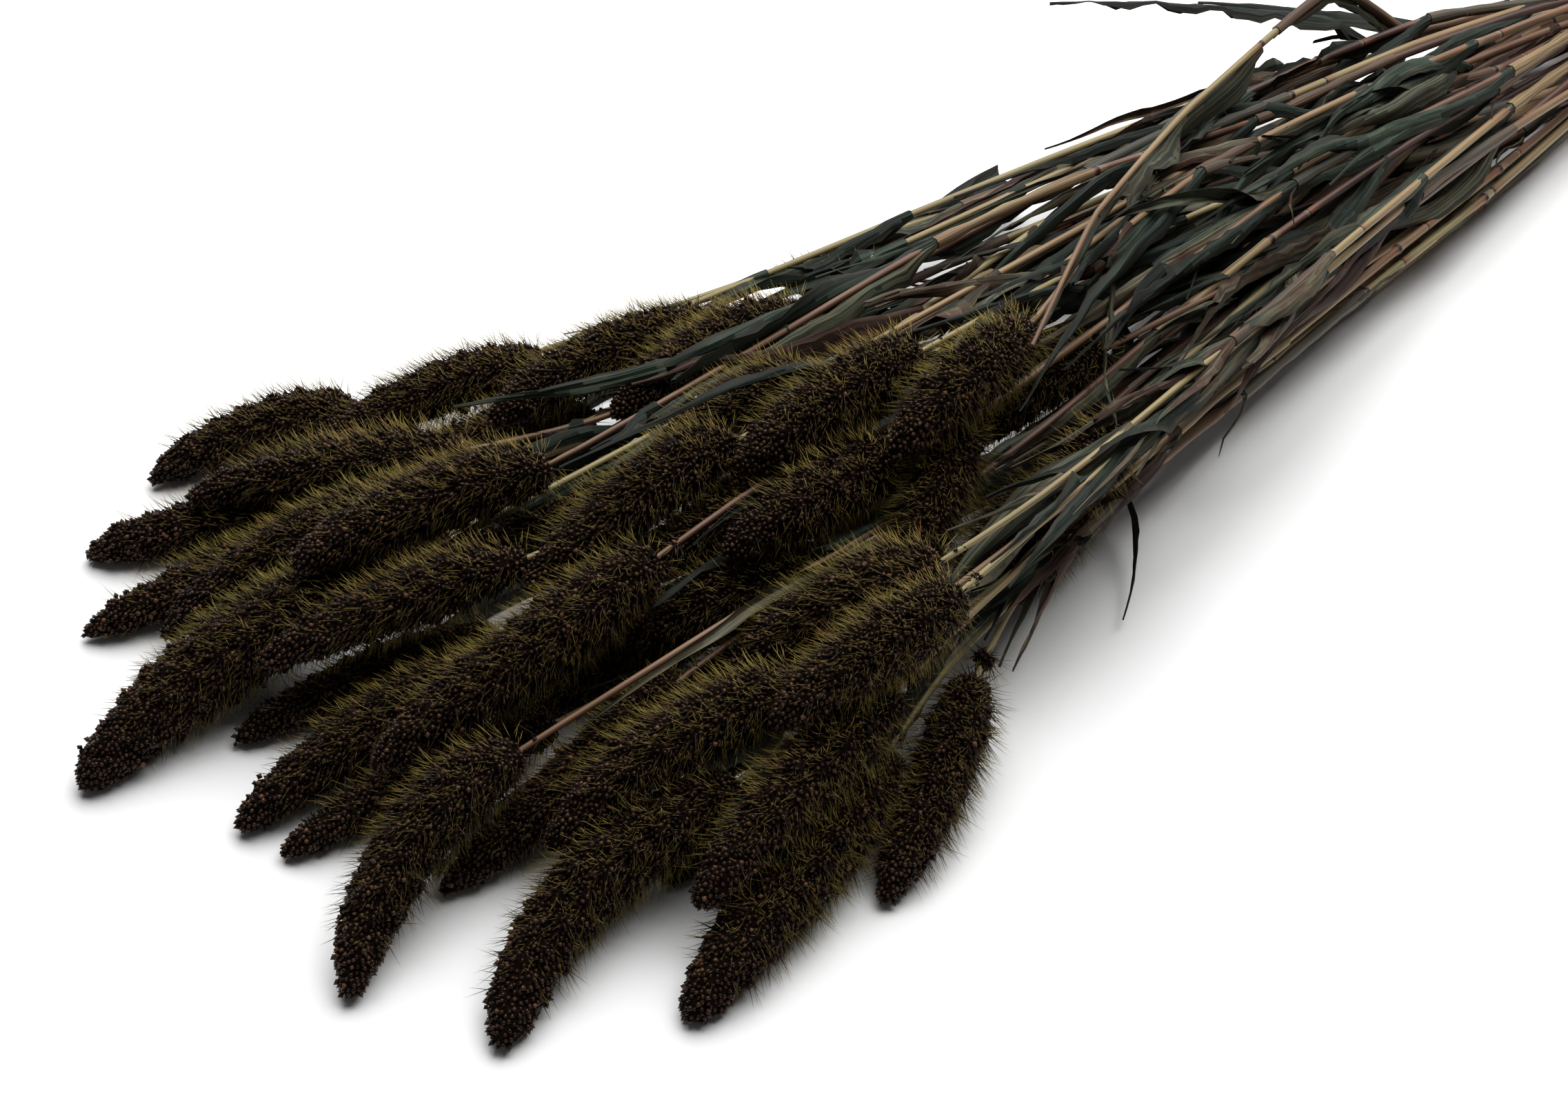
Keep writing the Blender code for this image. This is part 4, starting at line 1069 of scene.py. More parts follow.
# Floor leaves at the darkest tone: real leaves whose darkness is partly painted shade
for number, joint, places, half in FLOOR_LEAVES:
    points = np.vstack([stalks[number - 1]["points"][joint], np.array(places, float)])
    add_leaf(number - 1, joint, points, half, FLOOR_LEAF_TWIST, FLOOR_LEAF_SHADE_TONE)
for n, stalk in enumerate(stalks):
    for choices in HUG_JOINTS:
        joint = leaf_rng.choice(choices)
        tries = [hugging_points(stalk, joint, leaf_rng) for _ in range(HUG_TRIES)]
        points = next((points for points in tries if clear_of_heads(points)), None)
        if points is None or n + 1 in BARE_CULMS and joint < BARE_BELOW:
            continue
        add_leaf(n, joint, points, leaf_rng.uniform(*HUG_HALF_WIDTHS), leaf_rng.uniform(*HUG_TWIST),
                 leaf_rng.random())
        if leaf_rng.random() < HUG_SHEATHED:
            sheathed[n].add(joint)
for _ in range(SHREDS):
    n = leaf_rng.randrange(len(stalks))
    points = shred_points(stalks[n], leaf_rng.choice(sorted(sheathed[n])), leaf_rng)
    leaves[n].append(leaf(points, leaf_rng.uniform(*SHRED_HALF_WIDTHS), leaf_rng.uniform(*SHRED_TWIST), 0.0,
                          leaf_rng.uniform(*SHRED_TONES), leaf_rng))
for number, members in enumerate(clusters(), 1):
    parts = [part for n in members for part in leaves[n]]
    corners = np.vstack([part[0] for part in parts])
    faces, first = [], 0
    for part in parts:
        faces += [tuple(first + corner for corner in face) for face in part[1]]
        first += len(part[0])
    values = {key: np.concatenate([part[2][key] for part in parts]) for key in parts[0][2]}
    mesh = bare_mesh(f"blades_{number:02d}", corners, [], faces, values)
    mesh.materials.append(dry_leaf)
    mesh.shade_smooth()
    mesh.set_sharp_from_angle(angle=SHARP_FOLD)
    blade_piece = bpy.data.objects.new(mesh.name, mesh)
    bpy.context.scene.collection.objects.link(blade_piece)
    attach(blade_piece, "root")
    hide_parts(f"stalks_{number:02d}")


def sheath_material():
    """Leaf sheath: the same papery leaf wrapped tight, plum brown to straw with dark lengthwise nerves."""
    material, tree, shader = new_material("papery leaf sheath")
    tone = add(tree, "ShaderNodeAttribute", attribute_name="tone")
    place = round_and_along(tree, add(tree, "ShaderNodeAttribute", attribute_name="reach"))
    # Nerves 0.4 mm apart on a 2 mm radius
    stretch = add(tree, "ShaderNodeMapping", {"Vector": place.outputs[0], "Scale": (5.0, 5.0, 0.02)})
    nerve = add(tree, "ShaderNodeTexNoise", {"Vector": stretch.outputs[0], "Scale": 1.0, "Detail": 2.0})
    drift = add(tree, "ShaderNodeMapping", {"Vector": place.outputs[0], "Scale": (0.5, 0.5, 0.03)})
    faded = add(tree, "ShaderNodeTexNoise", {"Vector": drift.outputs[0], "Scale": 1.0, "Detail": 4.0})
    varied = drifting(tree, tone, faded, 0.8)
    base = add(tree, "ShaderNodeValToRGB", {"Fac": varied.outputs[0]}, stops=(
        (0.0, "#3c4036"), (1.0, "#a08a62"), (0.3, "#5a5243"), (0.5, "#6b4e3c"), (0.75, "#8a6a4c")))
    nerved = lined(tree, base.outputs[0], nerve, 0.8, ((0.35, "#6a645c"), (0.65, "#ffffff")))
    rough = add(tree, "ShaderNodeMapRange", {"Value": faded.outputs["Fac"], "To Min": 0.5, "To Max": 0.75})
    ribs = add(tree, "ShaderNodeBump", {"Height": nerve.outputs["Fac"], "Distance": 0.0003, "Strength": 0.7})
    tree.links.new(nerved.outputs[2], shader.inputs["Base Color"])
    tree.links.new(rough.outputs[0], shader.inputs["Roughness"])
    tree.links.new(ribs.outputs[0], shader.inputs["Normal"])
    shader.inputs["IOR"].default_value = 1.45
    return material


wrapped_leaf = sheath_material()
for number, members in enumerate(clusters(), 1):
    lines = [sheath_line(stalks[n], joint, leaf_rng.random(), leaf_rng)
             for n in members for joint in sorted(sheathed[n])]
    if SHOOT - 1 in members:
        wrapped = shoot_line(shoot, SHOOT_SHEATH_TONES)
        inside = wrapped["reach"] < SHOOT_STARTS + SHOOT_COLLAR * shoot_reach[-1]
        lines.append({key: wrapped[key][inside] for key in lines[0]})
        lines[-1]["radius"] = lines[-1]["radius"] + SHEATH_STANDS * MM
    places, edges, values = joined_lines(lines)
    sheaths = grow(f"sheaths_{number:02d}", bare_mesh("lines", places, edges, [], values), stems,
                   {"Sides": CULM_SIDES, "Finish": wrapped_leaf})
    rest_on_floor(sheaths)
    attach(sheaths, "root")
    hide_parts(f"stalks_{number:02d}")


# Seed heads
# A head is one stem with short side branches in tufts. Each branch ends in hard husked grains under 2 mm
# wide, pressed side by side, and below each grain stand a few fine bristles that point out and forwards.

# The core: a skin over the stem that swells at each tuft, then its rounded ends
CORE_STEP = 2.1
CORE_SIDES = 18
TUFT_COLUMNS = 10
TUFT_PITCH = 5.2
TUFT_LEAN = 2.0
TUFT_VALLEY = 0.7
TUFT_SPREAD = 1.9
TUFT_HEIGHTS = (0.55, 1.15)
CORE_UNEVEN = 0.4
CORE_SHARE = 1.1
GRAIN_STANDS = 0.6
TIP_ROUNDS = 17.0
BASE_ROUNDS = 6.0
LEAST_ROUND = 0.3
CORE_LOWEST = 1.0

# Fewer grains and bristles grow where a head is pressed against others or the floor
PRESSED_LOOK = 4.0
PRESSED_SHARE = 0.12

# A loose tuft below each head's base, and the heads that are fuller than the rest
LOOSE_TUFT_BELOW = 8.0
LOOSE_TUFT_LONG = 2.8
LOOSE_TUFTS = (0.0, 2.6)
BIG_LOOSE_TUFTS = {18: 4.6, 20: 5.2}
FULLER_HEADS = {4: 1.2, 8: 1.15, 16: 1.1, 19: 1.25}
HEAD_STARTS = 13.0
CORE_THINNEST = 0.2

# Grains: how close they stand, their size, and how they lean
GRAIN_SPACING = 1.36
GRAINS_MM2 = 3.0
GRAIN_WIDE = 1.9
GRAIN_LONG = 2.6
GRAIN_SIZES = (0.8, 1.15)
GRAIN_DARKEST = 0.15
GRAIN_LEAN = 0.55
GRAIN_JITTER = 0.45
GRAIN_LIFT = 1.2

# Bristles: more and longer on the inner heads, and none on the tips
BRISTLE_EACH_MM2 = 0.44
BRISTLE_LENGTHS = (5.5, 11.5)
BRISTLE_THICK = 0.34
BRISTLE_LEAN = 0.66
BRISTLE_JITTER = 0.28
BARE_TIPS = (0.16, 0.08)
BRISTLES_THIN_OVER = 0.35
LEAST_BRISTLY = 0.68
BRISTLY_FROM = -140.0
BRISTLY_ALL = -10.0


def husk_material():
    """Millet husk: hard and polished, near black with a plum cast, here and there a paler bare grain."""
    material, tree, shader = new_material("polished millet husk")
    tone = add(tree, "ShaderNodeAttribute", attribute_name="tone")
    place = add(tree, "ShaderNodeTexCoord")
    # Husks differ from one to the next, and more slowly along a head, over about 15 mm
    patch = add(tree, "ShaderNodeTexNoise", {"Vector": place.outputs["Object"], "Scale": 70.0, "Detail": 2.0})
    varied = drifting(tree, tone, patch, 0.5)
    husk = add(tree, "ShaderNodeValToRGB", {"Fac": varied.outputs[0]}, stops=(
        (0.0, "#0b0806"), (1.0, "#604532"), (0.3, "#1b120e"), (0.7, "#2a1d15"), (0.9, "#3b291e"),
        (0.96, "#4c3627")))
    fine = add(tree, "ShaderNodeTexNoise", {"Vector": place.outputs["Object"], "Scale": 1800.0})
    rough = add(tree, "ShaderNodeMapRange", {"Value": fine.outputs["Fac"], "To Min": 0.2, "To Max": 0.36})
    tree.links.new(husk.outputs[0], shader.inputs["Base Color"])
    tree.links.new(rough.outputs[0], shader.inputs["Roughness"])
    shader.inputs["Specular IOR Level"].default_value = 0.4
    shader.inputs["Specular Tint"].default_value = linear("#d2b29c")
    shader.inputs["IOR"].default_value = 1.5
    return material


def shaded_core_material():
    """Head core: near black and dull, painted shade for the deep gaps between a head's grains where it shows.
    """
    material, tree, shader = new_material("dark core as painted shade")
    place = add(tree, "ShaderNodeTexCoord")
    # Flakes about 1 mm across
    flake = add(tree, "ShaderNodeTexNoise", {"Vector": place.outputs["Object"], "Scale": 900.0,
                                             "Detail": 2.0})
    dark = add(tree, "ShaderNodeValToRGB", {"Fac": flake.outputs["Fac"]}, stops=(
        (0.35, "#060403"), (0.7, "#1d130c")))
    tree.links.new(dark.outputs[0], shader.inputs["Base Color"])
    shader.inputs["Roughness"].default_value = 0.9
    shader.inputs["Specular IOR Level"].default_value = 0.05
    shader.inputs["IOR"].default_value = 1.5
    return material


def bristle_material():
    """Bristle: a fine glossy hair of straw, brown at its root and olive yellow to its tip."""
    material, tree, shader = new_material("fine dry bristle")
    tone = add(tree, "ShaderNodeAttribute", attribute_name="tone")
    tip = add(tree, "ShaderNodeAttribute", attribute_name="tip")
    place = add(tree, "ShaderNodeTexCoord")
    patch = add(tree, "ShaderNodeTexNoise", {"Vector": place.outputs["Object"], "Scale": 30.0, "Detail": 2.0})
    varied = drifting(tree, tone, patch, 1.4)
    olive = add(tree, "ShaderNodeValToRGB", {"Fac": varied.outputs[0]}, stops=(
        (0.0, "#948838"), (1.0, "#98723c"), (0.5, "#b09c46"), (0.75, "#c4aa54")))
    root = add(tree, "ShaderNodeMapRange", {"Value": tip.outputs["Fac"], "From Min": 0.35, "From Max": 0.85})
    grown = add(tree, "ShaderNodeMix", {0: root.outputs[0], 6: linear("#281c0f"), 7: olive.outputs[0]},
                data_type="RGBA")
    tree.links.new(grown.outputs[2], shader.inputs["Base Color"])
    shader.inputs["Roughness"].default_value = 0.5
    shader.inputs["Specular IOR Level"].default_value = 0.25
    shader.inputs["IOR"].default_value = 1.5
    return material


def leaning_out(tree, given, spread):
    """Which way each thing set on a core points: out, leaning to the head's tip, and a little at random."""
    ahead = add(tree, "GeometryNodeInputNamedAttribute", {"Name": "ahead"}, data_type="FLOAT_VECTOR")
    leaning = add(tree, "ShaderNodeVectorMath", {0: ahead.outputs["Attribute"], "Scale": given["Lean"]},
                  operation="SCALE")
    outwards = add(tree, "ShaderNodeVectorMath", {0: spread.outputs["Normal"], 1: leaning.outputs[0]},
                   operation="ADD")
    any_way = add(tree, "FunctionNodeRandomValue", {0: (-1, -1, -1), 1: (1, 1, 1), "Seed": given["Seed"]},
                  data_type="FLOAT_VECTOR")
    shaken = add(tree, "ShaderNodeVectorMath", {0: any_way.outputs[0], "Scale": given["Jitter"]},
                 operation="SCALE")
    way = add(tree, "ShaderNodeVectorMath", {0: outwards.outputs[0], 1: shaken.outputs[0]}, operation="ADD")
    return add(tree, "FunctionNodeAlignRotationToVector", {"Vector": way.outputs[0]}, axis="Z")


def toned(tree, things, darkest, seed):
    """The same things, each with a tone of its own."""
    shade = add(tree, "FunctionNodeRandomValue", {2: darkest, 3: 1.0, "Seed": seed}, data_type="FLOAT")
    return add(tree, "GeometryNodeStoreNamedAttribute", {
        "Geometry": things.outputs[0], "Name": "tone", "Value": shade.outputs[1]},
        data_type="FLOAT", domain="INSTANCE")


def grain_tree():
    """Sets grains side by side over a core, each leaning out and forwards, and keeps the core."""
    tree, given, result = new_tree("grains", {
        "Spacing": "NodeSocketFloat", "Most a Square Metre": "NodeSocketFloat", "Wide": "NodeSocketFloat",
        "Long": "NodeSocketFloat", "Lean": "NodeSocketFloat", "Jitter": "NodeSocketFloat",
        "Lift": "NodeSocketFloat", "Seed": "NodeSocketInt", "Core Finish": "NodeSocketMaterial",
        "Finish": "NodeSocketMaterial"})
    room = add(tree, "GeometryNodeInputNamedAttribute", {"Name": "open"}, data_type="FLOAT")
    spread = add(tree, "GeometryNodeDistributePointsOnFaces", {
        "Mesh": given["Geometry"], "Distance Min": given["Spacing"], "Seed": given["Seed"],
        "Density Max": given["Most a Square Metre"], "Density Factor": room.outputs["Attribute"]},
        distribute_method="POISSON")
    pointed = leaning_out(tree, given, spread)
    spin = add(tree, "FunctionNodeRandomValue", {0: (0, 0, 0), 1: (0, 0, math.tau), "Seed": given["Seed"]},
               data_type="FLOAT_VECTOR")
    turned = add(tree, "FunctionNodeRotateRotation", {
        "Rotation": pointed.outputs[0], "Rotate By": spin.outputs[0]}, rotation_space="LOCAL")
    ball = add(tree, "GeometryNodeMeshUVSphere", {"Segments": 4, "Rings": 2, "Radius": 0.5})
    egg_size = add(tree, "ShaderNodeCombineXYZ", {"X": given["Wide"], "Y": given["Wide"], "Z": given["Long"]})
    egg = add(tree, "GeometryNodeTransform", {"Geometry": ball.outputs[0], "Scale": egg_size.outputs[0]})
    size = add(tree, "FunctionNodeRandomValue", {2: GRAIN_SIZES[0], 3: GRAIN_SIZES[1], "Seed": given["Seed"]},
               data_type="FLOAT")
    # Only a few grains stand proud of the rest
    chance = add(tree, "FunctionNodeRandomValue", {2: 0.0, 3: 1.0, "Seed": 3}, data_type="FLOAT")
    rare = add(tree, "ShaderNodeMath", {0: chance.outputs[1], 1: 6.0}, operation="POWER")
    lift = add(tree, "ShaderNodeMath", {0: rare.outputs[0], 1: given["Lift"]}, operation="MULTIPLY")
    out_by = add(tree, "ShaderNodeVectorMath", {0: spread.outputs["Normal"], "Scale": lift.outputs[0]},
                 operation="SCALE")
    lifted = add(tree, "GeometryNodeSetPosition", {"Geometry": spread.outputs["Points"],
                                                   "Offset": out_by.outputs[0]})
    set_out = add(tree, "GeometryNodeInstanceOnPoints", {
        "Points": lifted.outputs[0], "Instance": egg.outputs[0], "Rotation": turned.outputs[0],
        "Scale": size.outputs[1]})
    grains = toned(tree, set_out, GRAIN_DARKEST, 5)
    both = add(tree, "GeometryNodeJoinGeometry", {"Geometry": grains.outputs[0]})
    tree.links.new(given["Geometry"], both.inputs["Geometry"])
    smooth = add(tree, "GeometryNodeSetShadeSmooth", {"Geometry": both.outputs[0]})
    whole = add(tree, "GeometryNodeRealizeInstances", {"Geometry": smooth.outputs[0]})
    husked = add(tree, "GeometryNodeSetMaterial", {"Geometry": whole.outputs[0], "Material": given["Finish"]})
    # The core's own tone is 0, below that of any grain
    tone = add(tree, "GeometryNodeInputNamedAttribute", {"Name": "tone"}, data_type="FLOAT")
    in_core = add(tree, "FunctionNodeCompare", {0: tone.outputs["Attribute"], 1: GRAIN_DARKEST / 3},
                  data_type="FLOAT", operation="LESS_THAN")
    # The core gets the near-black finish, painted shade for the gaps between the grains
    finished = add(tree, "GeometryNodeSetMaterial", {
        "Geometry": husked.outputs[0], "Selection": in_core.outputs[0], "Material": given["Core Finish"]})
    tree.links.new(finished.outputs[0], result)
    return tree


def bristle_tree():
    """Stands fine cones over a core where it is bristly, each leaning out and forwards."""
    tree, given, result = new_tree("bristles", {
        "Each Square Metre": "NodeSocketFloat", "Shortest": "NodeSocketFloat", "Longest": "NodeSocketFloat",
        "Thick": "NodeSocketFloat", "Lean": "NodeSocketFloat", "Jitter": "NodeSocketFloat",
        "Seed": "NodeSocketInt", "Finish": "NodeSocketMaterial"})
    room = add(tree, "GeometryNodeInputNamedAttribute", {"Name": "bristly"}, data_type="FLOAT")
    thick_set = add(tree, "ShaderNodeMath", {0: room.outputs["Attribute"], 1: given["Each Square Metre"]},
                    operation="MULTIPLY")
    spread = add(tree, "GeometryNodeDistributePointsOnFaces", {
        "Mesh": given["Geometry"], "Density": thick_set.outputs[0], "Seed": given["Seed"]},
        distribute_method="RANDOM")
    pointed = leaning_out(tree, given, spread)
    hair = add(tree, "GeometryNodeMeshCone", {"Vertices": 3, "Side Segments": 1, "Radius Top": 0.0,
                                              "Radius Bottom": 0.5, "Depth": 1.0}, fill_type="NGON")
    place = add(tree, "GeometryNodeInputPosition")
    height = add(tree, "ShaderNodeSeparateXYZ", {0: place.outputs[0]})
    marked = add(tree, "GeometryNodeStoreNamedAttribute", {
        "Geometry": hair.outputs[0], "Name": "tip", "Value": height.outputs["Z"]},
        data_type="FLOAT", domain="POINT")
    length = add(tree, "FunctionNodeRandomValue", {
        2: given["Shortest"], 3: given["Longest"], "Seed": given["Seed"]}, data_type="FLOAT")
    shape = add(tree, "ShaderNodeCombineXYZ", {
        "X": given["Thick"], "Y": given["Thick"], "Z": length.outputs[1]})
    set_out = add(tree, "GeometryNodeInstanceOnPoints", {
        "Points": spread.outputs["Points"], "Instance": marked.outputs[0], "Rotation": pointed.outputs[0],
        "Scale": shape.outputs[0]})
    smooth = add(tree, "GeometryNodeSetShadeSmooth", {"Geometry": toned(tree, set_out, 0.0, 9).outputs[0]})
    whole = add(tree, "GeometryNodeRealizeInstances", {"Geometry": smooth.outputs[0]})
    finished = add(tree, "GeometryNodeSetMaterial", {"Geometry": whole.outputs[0],
                                                     "Material": given["Finish"]})
    tree.links.new(finished.outputs[0], result)
    return tree


def head_shape(stalk, at, long):
    """Full radius of a head at distances along it, rounded at both ends, with a loose tuft below its base."""
    full = np.array([head_swelling(max(0.0, s) / long) for s in at]) * stalk["wide"] / 2
    to_tip = np.clip((at - long + TIP_ROUNDS) / TIP_ROUNDS, 0, 1)
    to_base = np.clip(1 - at / BASE_ROUNDS, 0, 1)
    body = full * np.sqrt(1 - to_tip ** 2) * np.maximum(LEAST_ROUND, np.sqrt(1 - 0.8 * to_base ** 2))
    return np.where(at < 0, stalk["loose"] * np.exp(-((at + LOOSE_TUFT_BELOW) / LOOSE_TUFT_LONG) ** 2), body)


def core_mesh(number, stalk, others):
    """A head's core: a skin that swells where tufts of grain stand, and notes how open each place is."""
    rng = random.Random(100 + number)
    line, reach = line_through(stalk["points"][STALK_POINTS - 2:])
    base = reach[LINE_STEPS]
    long = reach[-1] - base
    rows = round((long + HEAD_STARTS) / CORE_STEP)
    at = np.linspace(-HEAD_STARTS, long, rows + 1)
    middle = places_at(line, reach, at + base)
    first_way = unit(stalk["points"][STALK_POINTS] - stalk["points"][STALK_POINTS - 1])
    along, sides, outs = frames(middle, np.cross(first_way, np.array([0.0, 0.0, 1.0])))
    angles = math.tau * np.arange(CORE_SIDES) / CORE_SIDES - math.pi / 2
    full = head_shape(stalk, at, long)
    tuft_rows = max(8, round(long / TUFT_PITCH))
    tufts = [(k * long / tuft_rows + TUFT_LEAN, math.tau * n / TUFT_COLUMNS - math.pi / 2,
              rng.uniform(*TUFT_HEIGHTS))
             for k in range(tuft_rows + 1) for n in range(TUFT_COLUMNS) if (k + n) % 2 == 0]
    tufts = np.array(tufts)
    away = at[:, None, None] - tufts[None, None, :, 0]
    turned = (angles[None, :, None] - tufts[None, None, :, 1] + math.pi) % math.tau - math.pi
    beside = turned * full[:, None, None]
    bump = (np.exp(-(away ** 2 + beside ** 2) / (2 * TUFT_SPREAD ** 2)) * tufts[:, 2]).max(axis=2)
    uneven = np.array([[rng.uniform(-1, 1) for _ in angles] for _ in at]) * CORE_UNEVEN
    fuller = CORE_SHARE * FULLER_HEADS.get(number + 1, 1.0)
    radius = full[:, None] * fuller * (TUFT_VALLEY + (1 - TUFT_VALLEY) * bump) + uneven - GRAIN_STANDS
    radius = np.maximum(radius, CORE_THINNEST)
    way = np.cos(angles)[None, :, None] * sides[:, None] + np.sin(angles)[None, :, None] * outs[:, None]
    corners = (middle[:, None] + way * radius[:, :, None])[1:-1].reshape(-1, 3)
    way = way[1:-1].reshape(-1, 3)
    corners = np.vstack([corners, middle[:1], middle[-1:]])
    way = np.vstack([way, -along[:1], along[-1:]])
    ahead = np.vstack([np.repeat(along[1:-1], CORE_SIDES, axis=0), along[:1], along[-1:]])
    share = np.concatenate([np.repeat(at[1:-1] / long, CORE_SIDES), [0.0, 1.0]])
    seen = corners + way * PRESSED_LOOK
    inside = np.sqrt(((seen[:, None] - others[None, :, :3]) ** 2).sum(2)) - others[None, :, 3]
    free = np.clip((inside.min(axis=1) + 2) / 3, 0, 1) * np.clip((seen[:, 2] + 1) / 3, 0, 1)
    free = PRESSED_SHARE + (1 - PRESSED_SHARE) * free
    thick = np.concatenate([radius[1:-1].ravel(), [0.0, 1.0]])
    free = free * np.clip(thick, 0, 1)
    corners[:, 2] = np.maximum(corners[:, 2], CORE_LOWEST)
    bristly = free * np.clip((1 - share - stalk["bare"]) / BRISTLES_THIN_OVER, 0, 1)
    rings = rows - 1
    faces = skin(rings, CORE_SIDES)[:-2]
    low, high = rings * CORE_SIDES, rings * CORE_SIDES + 1
    last = (rings - 1) * CORE_SIDES
    for n in range(CORE_SIDES):
        after = (n + 1) % CORE_SIDES
        faces += [(after, n, low), (last + n, last + after, high)]
    return bare_mesh("core", corners, [], faces, {
        "ahead": ahead, "open": free, "bristly": bristly, "tone": np.zeros(len(corners))})


head_volumes = []
head_rng = random.Random(61)
for n, stalk in enumerate(stalks):
    stalk["loose"] = BIG_LOOSE_TUFTS.get(n + 1, head_rng.uniform(*LOOSE_TUFTS))
    line, reach = line_through(stalk["points"][STALK_POINTS - 1:])
    at = np.linspace(0, reach[-1], 24)
    head_volumes.append(np.column_stack([places_at(line, reach, at), head_shape(stalk, at, reach[-1])]))
husk = husk_material()
# Near-black head core: painted shade between the grains
shaded_core = shaded_core_material()
bristle = bristle_material()
grain_nodes = grain_tree()
bristle_nodes = bristle_tree()
for n, stalk in enumerate(stalks):
    others = np.vstack(head_volumes[:n] + head_volumes[n + 1:])
    base_x = stalk["points"][STALK_POINTS - 1][0]
    inner = min(1.0, max(0.0, (base_x - BRISTLY_FROM) / (BRISTLY_ALL - BRISTLY_FROM)))
    stalk["bare"] = BARE_TIPS[0] + (BARE_TIPS[1] - BARE_TIPS[0]) * inner
    bristly = LEAST_BRISTLY + (1 - LEAST_BRISTLY) * inner
    grains = grow(f"grains_{n + 1:02d}", core_mesh(n, stalk, others), grain_nodes, {
        "Spacing": GRAIN_SPACING * MM, "Most a Square Metre": GRAINS_MM2 * 1e6, "Wide": GRAIN_WIDE * MM,
        "Long": GRAIN_LONG * MM, "Lean": GRAIN_LEAN, "Jitter": GRAIN_JITTER, "Lift": GRAIN_LIFT * MM,
        "Seed": n, "Core Finish": shaded_core, "Finish": husk})
    bristles = grow(f"bristles_{n + 1:02d}", core_mesh(n, stalk, others), bristle_nodes, {
        "Each Square Metre": BRISTLE_EACH_MM2 * 1e6 * bristly, "Shortest": BRISTLE_LENGTHS[0] * MM,
        "Longest": (BRISTLE_LENGTHS[0] + (BRISTLE_LENGTHS[1] - BRISTLE_LENGTHS[0]) * bristly) * MM,
        "Thick": BRISTLE_THICK * MM, "Lean": BRISTLE_LEAN, "Jitter": BRISTLE_JITTER, "Seed": n + 50,
        "Finish": bristle})
    for piece, slot in ((grains, "grain"), (bristles, "bristle")):
        rest_on_floor(piece)
        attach(piece, "root")
        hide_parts(f"head_{n + 1:02d}")


# Band
# A natural rubber band, cut from a moulded sleeve and wound four times round the feet of the stalks, so
# that its own pull holds the bunch. Its turns lie side by side, and one crosses over the others.
BAND_TURNS = 4
BAND_STRAND = 2.7
BAND_THICK = 1.5
BAND_STEPS = 72
BAND_WOBBLE = 0.3
BAND_CLEAR = 0.1
BAND_CROSSES_AT = 110.0
BAND_CROSSES = 50.0
BAND_CROSS_STANDS = 1.3


def rubber_material():
    """Natural rubber: matt, amber and faintly cloudy, dusted with talc from the mould."""
    material, tree, shader = new_material("moulded natural rubber")
    place = add(tree, "ShaderNodeTexCoord")
    # Clouds about 3 mm across
    cloud = add(tree, "ShaderNodeTexNoise", {"Vector": place.outputs["Object"], "Scale": 350.0,
                                             "Detail": 3.0})
    amber = add(tree, "ShaderNodeValToRGB", {"Fac": cloud.outputs["Fac"]}, stops=(
        (0.3, "#9a6a37"), (0.7, "#bb8b52")))
    rough = add(tree, "ShaderNodeMapRange", {"Value": cloud.outputs["Fac"], "To Min": 0.5, "To Max": 0.7})
    grit = add(tree, "ShaderNodeBump", {"Height": cloud.outputs["Fac"], "Distance": 0.0001, "Strength": 0.4})
    tree.links.new(amber.outputs[0], shader.inputs["Base Color"])
    tree.links.new(rough.outputs[0], shader.inputs["Roughness"])
    tree.links.new(grit.outputs[0], shader.inputs["Normal"])
    shader.inputs["IOR"].default_value = 1.52
    return material


band_middle = np.array([TIE_X, TIE_Y, tie_inside() + TIE_WALL])
corners, faces = [], []
for turn in range(BAND_TURNS):
    first = len(corners)
    for step in range(BAND_STEPS):
        angle = math.tau * step / BAND_STEPS
        home = (turn - (BAND_TURNS - 1) / 2) * (TIE_LENGTH - BAND_STRAND) / (BAND_TURNS - 1)
        shift_x = BAND_WOBBLE * math.sin(angle * 2 + turn)
        stand = 0.0
        if turn == BAND_TURNS - 1:
            near = (math.degrees(angle) - BAND_CROSSES_AT) / BAND_CROSSES
            cross = math.exp(-near * near)
            shift_x -= (TIE_LENGTH - BAND_STRAND) * cross
            stand = BAND_CROSS_STANDS * cross
        out = np.array([0.0, math.cos(angle), math.sin(angle)])
        inner = tie_inside() + BAND_CLEAR + stand
        for dx, dr in ((-0.5, 0.25), (-0.35, 0.0), (0.35, 0.0), (0.5, 0.25), (0.5, 0.75), (0.35, 1.0),
                       (-0.35, 1.0), (-0.5, 0.75)):
            corners.append(band_middle + [home + shift_x + dx * BAND_STRAND, 0, 0]
                           + out * (inner + dr * BAND_THICK))
    for k in range(BAND_STEPS):
        for m in range(8):
            a, b = first + k * 8 + m, first + k * 8 + (m + 1) % 8
            c, d = (first + (k + 1) % BAND_STEPS * 8 + m, first + (k + 1) % BAND_STEPS * 8 + (m + 1) % 8)
            faces.append((a, b, d, c))
band_mesh = bare_mesh("band", np.array(corners), [], faces, {})
band_mesh.materials.append(rubber_material())
band_mesh.shade_smooth()
band = bpy.data.objects.new("band", band_mesh)
bpy.context.scene.collection.objects.link(band)
rest_on_floor(band)
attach(band, "root")
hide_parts("tie")


# Floor, light and camera
# The bunch lies on a plain white sweep under one large soft lamp, high up and a little behind the stems. The
# camera stands in front of the heads and looks down on them at 45 degrees.
FLOOR_SIZE = 12.0
FLOOR_UNDER = 0.0003
CAMERA_TURN = math.radians(-35)
CAMERA_DOWN = math.radians(45)
CAMERA_AWAY = 960.0
LENS = 65.0
SENSOR = 36.0
LAMP_WAY = (0.53, 0.45, 1.4)
LAMP_AWAY = 2.0
LAMP_SIZE = 2.6
LAMP_POWER = 97.0
FILL = 0.06

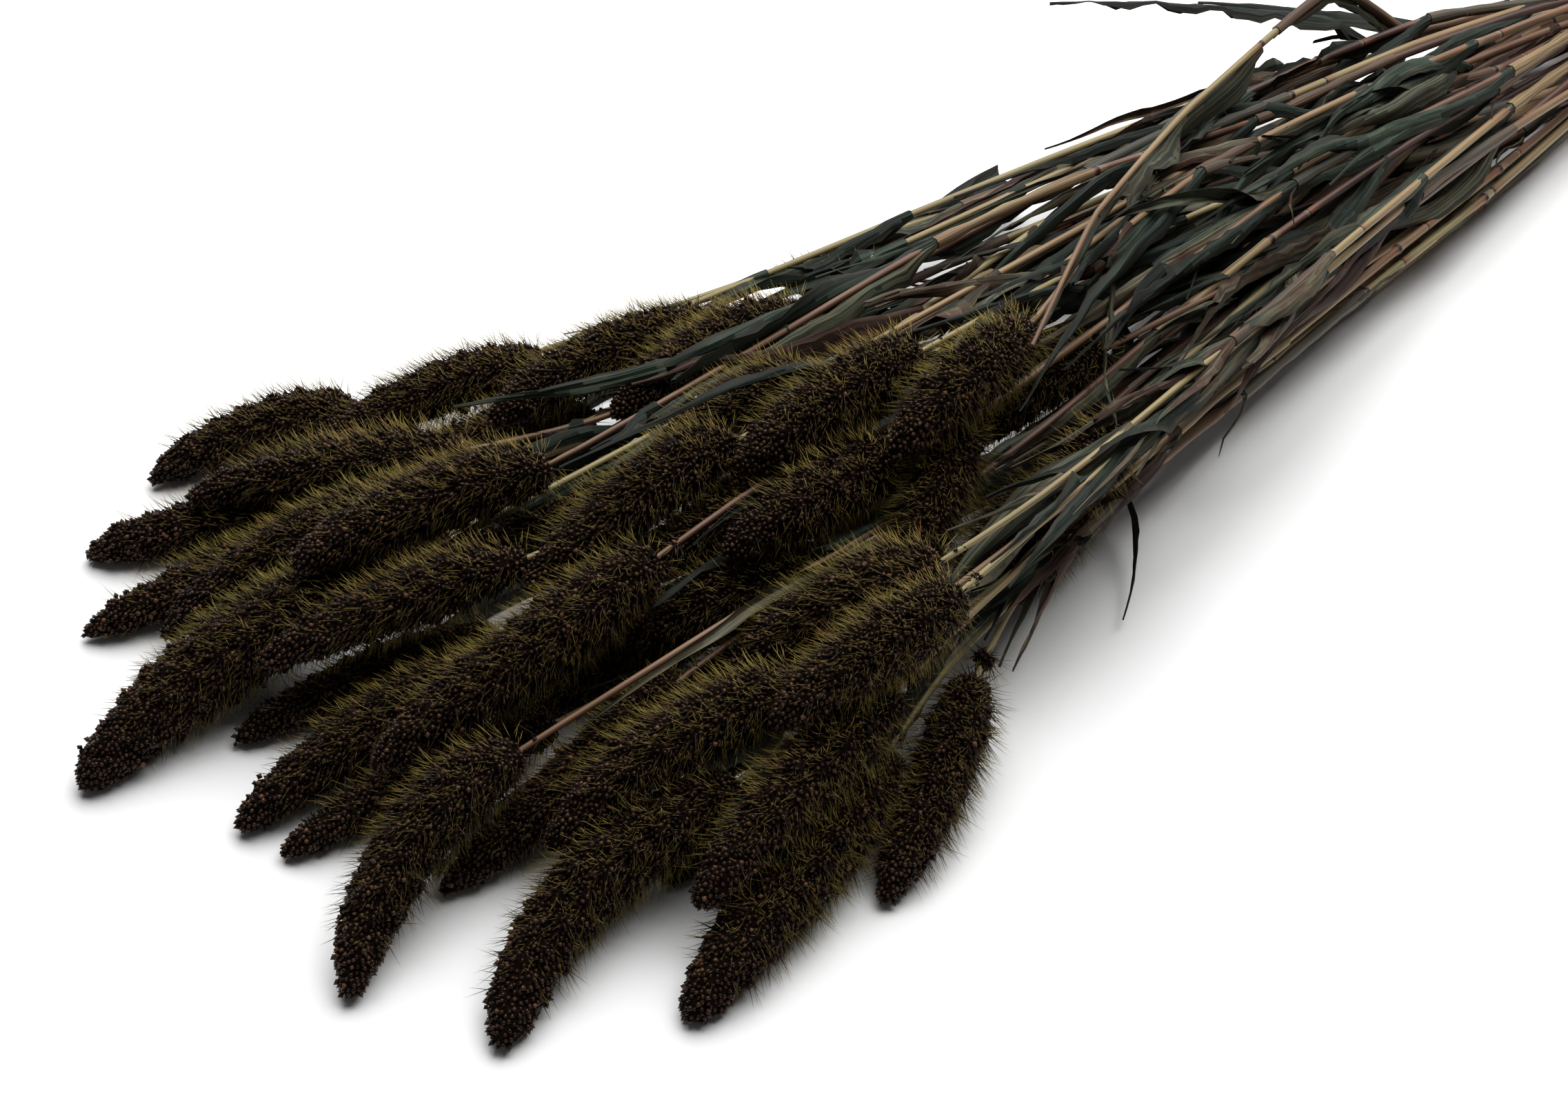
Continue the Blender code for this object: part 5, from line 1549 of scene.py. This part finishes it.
floor_mesh = bpy.data.meshes.new("floor")
half = FLOOR_SIZE / 2
floor_mesh.from_pydata([(x * half, y * half, -FLOOR_UNDER) for x, y in ((-1, -1), (1, -1), (1, 1), (-1, 1))],
                       [], [(0, 1, 2, 3)])
paper, _, paper_shader = new_material("white paper sweep")
paper_shader.inputs["Base Color"].default_value = linear("#fbfbfb")
paper_shader.inputs["Roughness"].default_value = 0.9
paper_shader.inputs["Specular IOR Level"].default_value = 0.1
floor_mesh.materials.append(paper)
floor = bpy.data.objects.new("floor", floor_mesh)
bpy.context.scene.collection.objects.link(floor)

right = np.array([math.cos(CAMERA_TURN), math.sin(CAMERA_TURN), 0.0])
level = np.array([-math.sin(CAMERA_TURN), math.cos(CAMERA_TURN), 0.0])
upright = np.array([0.0, 0.0, 1.0])
look = level * math.cos(CAMERA_DOWN) - upright * math.sin(CAMERA_DOWN)
top = level * math.sin(CAMERA_DOWN) + upright * math.cos(CAMERA_DOWN)
eye = -look * CAMERA_AWAY * MM + drawn_to_frame
lens = bpy.data.cameras.new("camera")
lens.lens = LENS
lens.sensor_width = SENSOR
camera = bpy.data.objects.new("camera", lens)
camera.matrix_world = Matrix([[*row, place] for row, place in zip(np.array([right, top, -look]).T, eye)]
                             + [[0, 0, 0, 1]])
bpy.context.scene.collection.objects.link(camera)
bpy.context.scene.camera = camera

lamp_data = bpy.data.lights.new("softbox", "AREA")
lamp_data.shape = "SQUARE"
lamp_data.size = LAMP_SIZE
lamp_data.energy = LAMP_POWER
lamp = bpy.data.objects.new("softbox", lamp_data)
lamp_way = unit(np.array(LAMP_WAY))
lamp_side = unit(np.cross(upright, lamp_way))
lamp_up = np.cross(lamp_way, lamp_side)
lamp.matrix_world = Matrix([[*row, place] for row, place in
                            zip(np.array([lamp_side, lamp_up, lamp_way]).T, lamp_way * LAMP_AWAY)]
                           + [[0, 0, 0, 1]])
bpy.context.scene.collection.objects.link(lamp)
world = bpy.data.worlds.new("studio")
world.use_nodes = True
world.node_tree.nodes["Background"].inputs["Color"].default_value = linear("#ffffff")
world.node_tree.nodes["Background"].inputs["Strength"].default_value = FILL
bpy.context.scene.world = world
bpy.context.scene.view_settings.view_transform = "Standard"
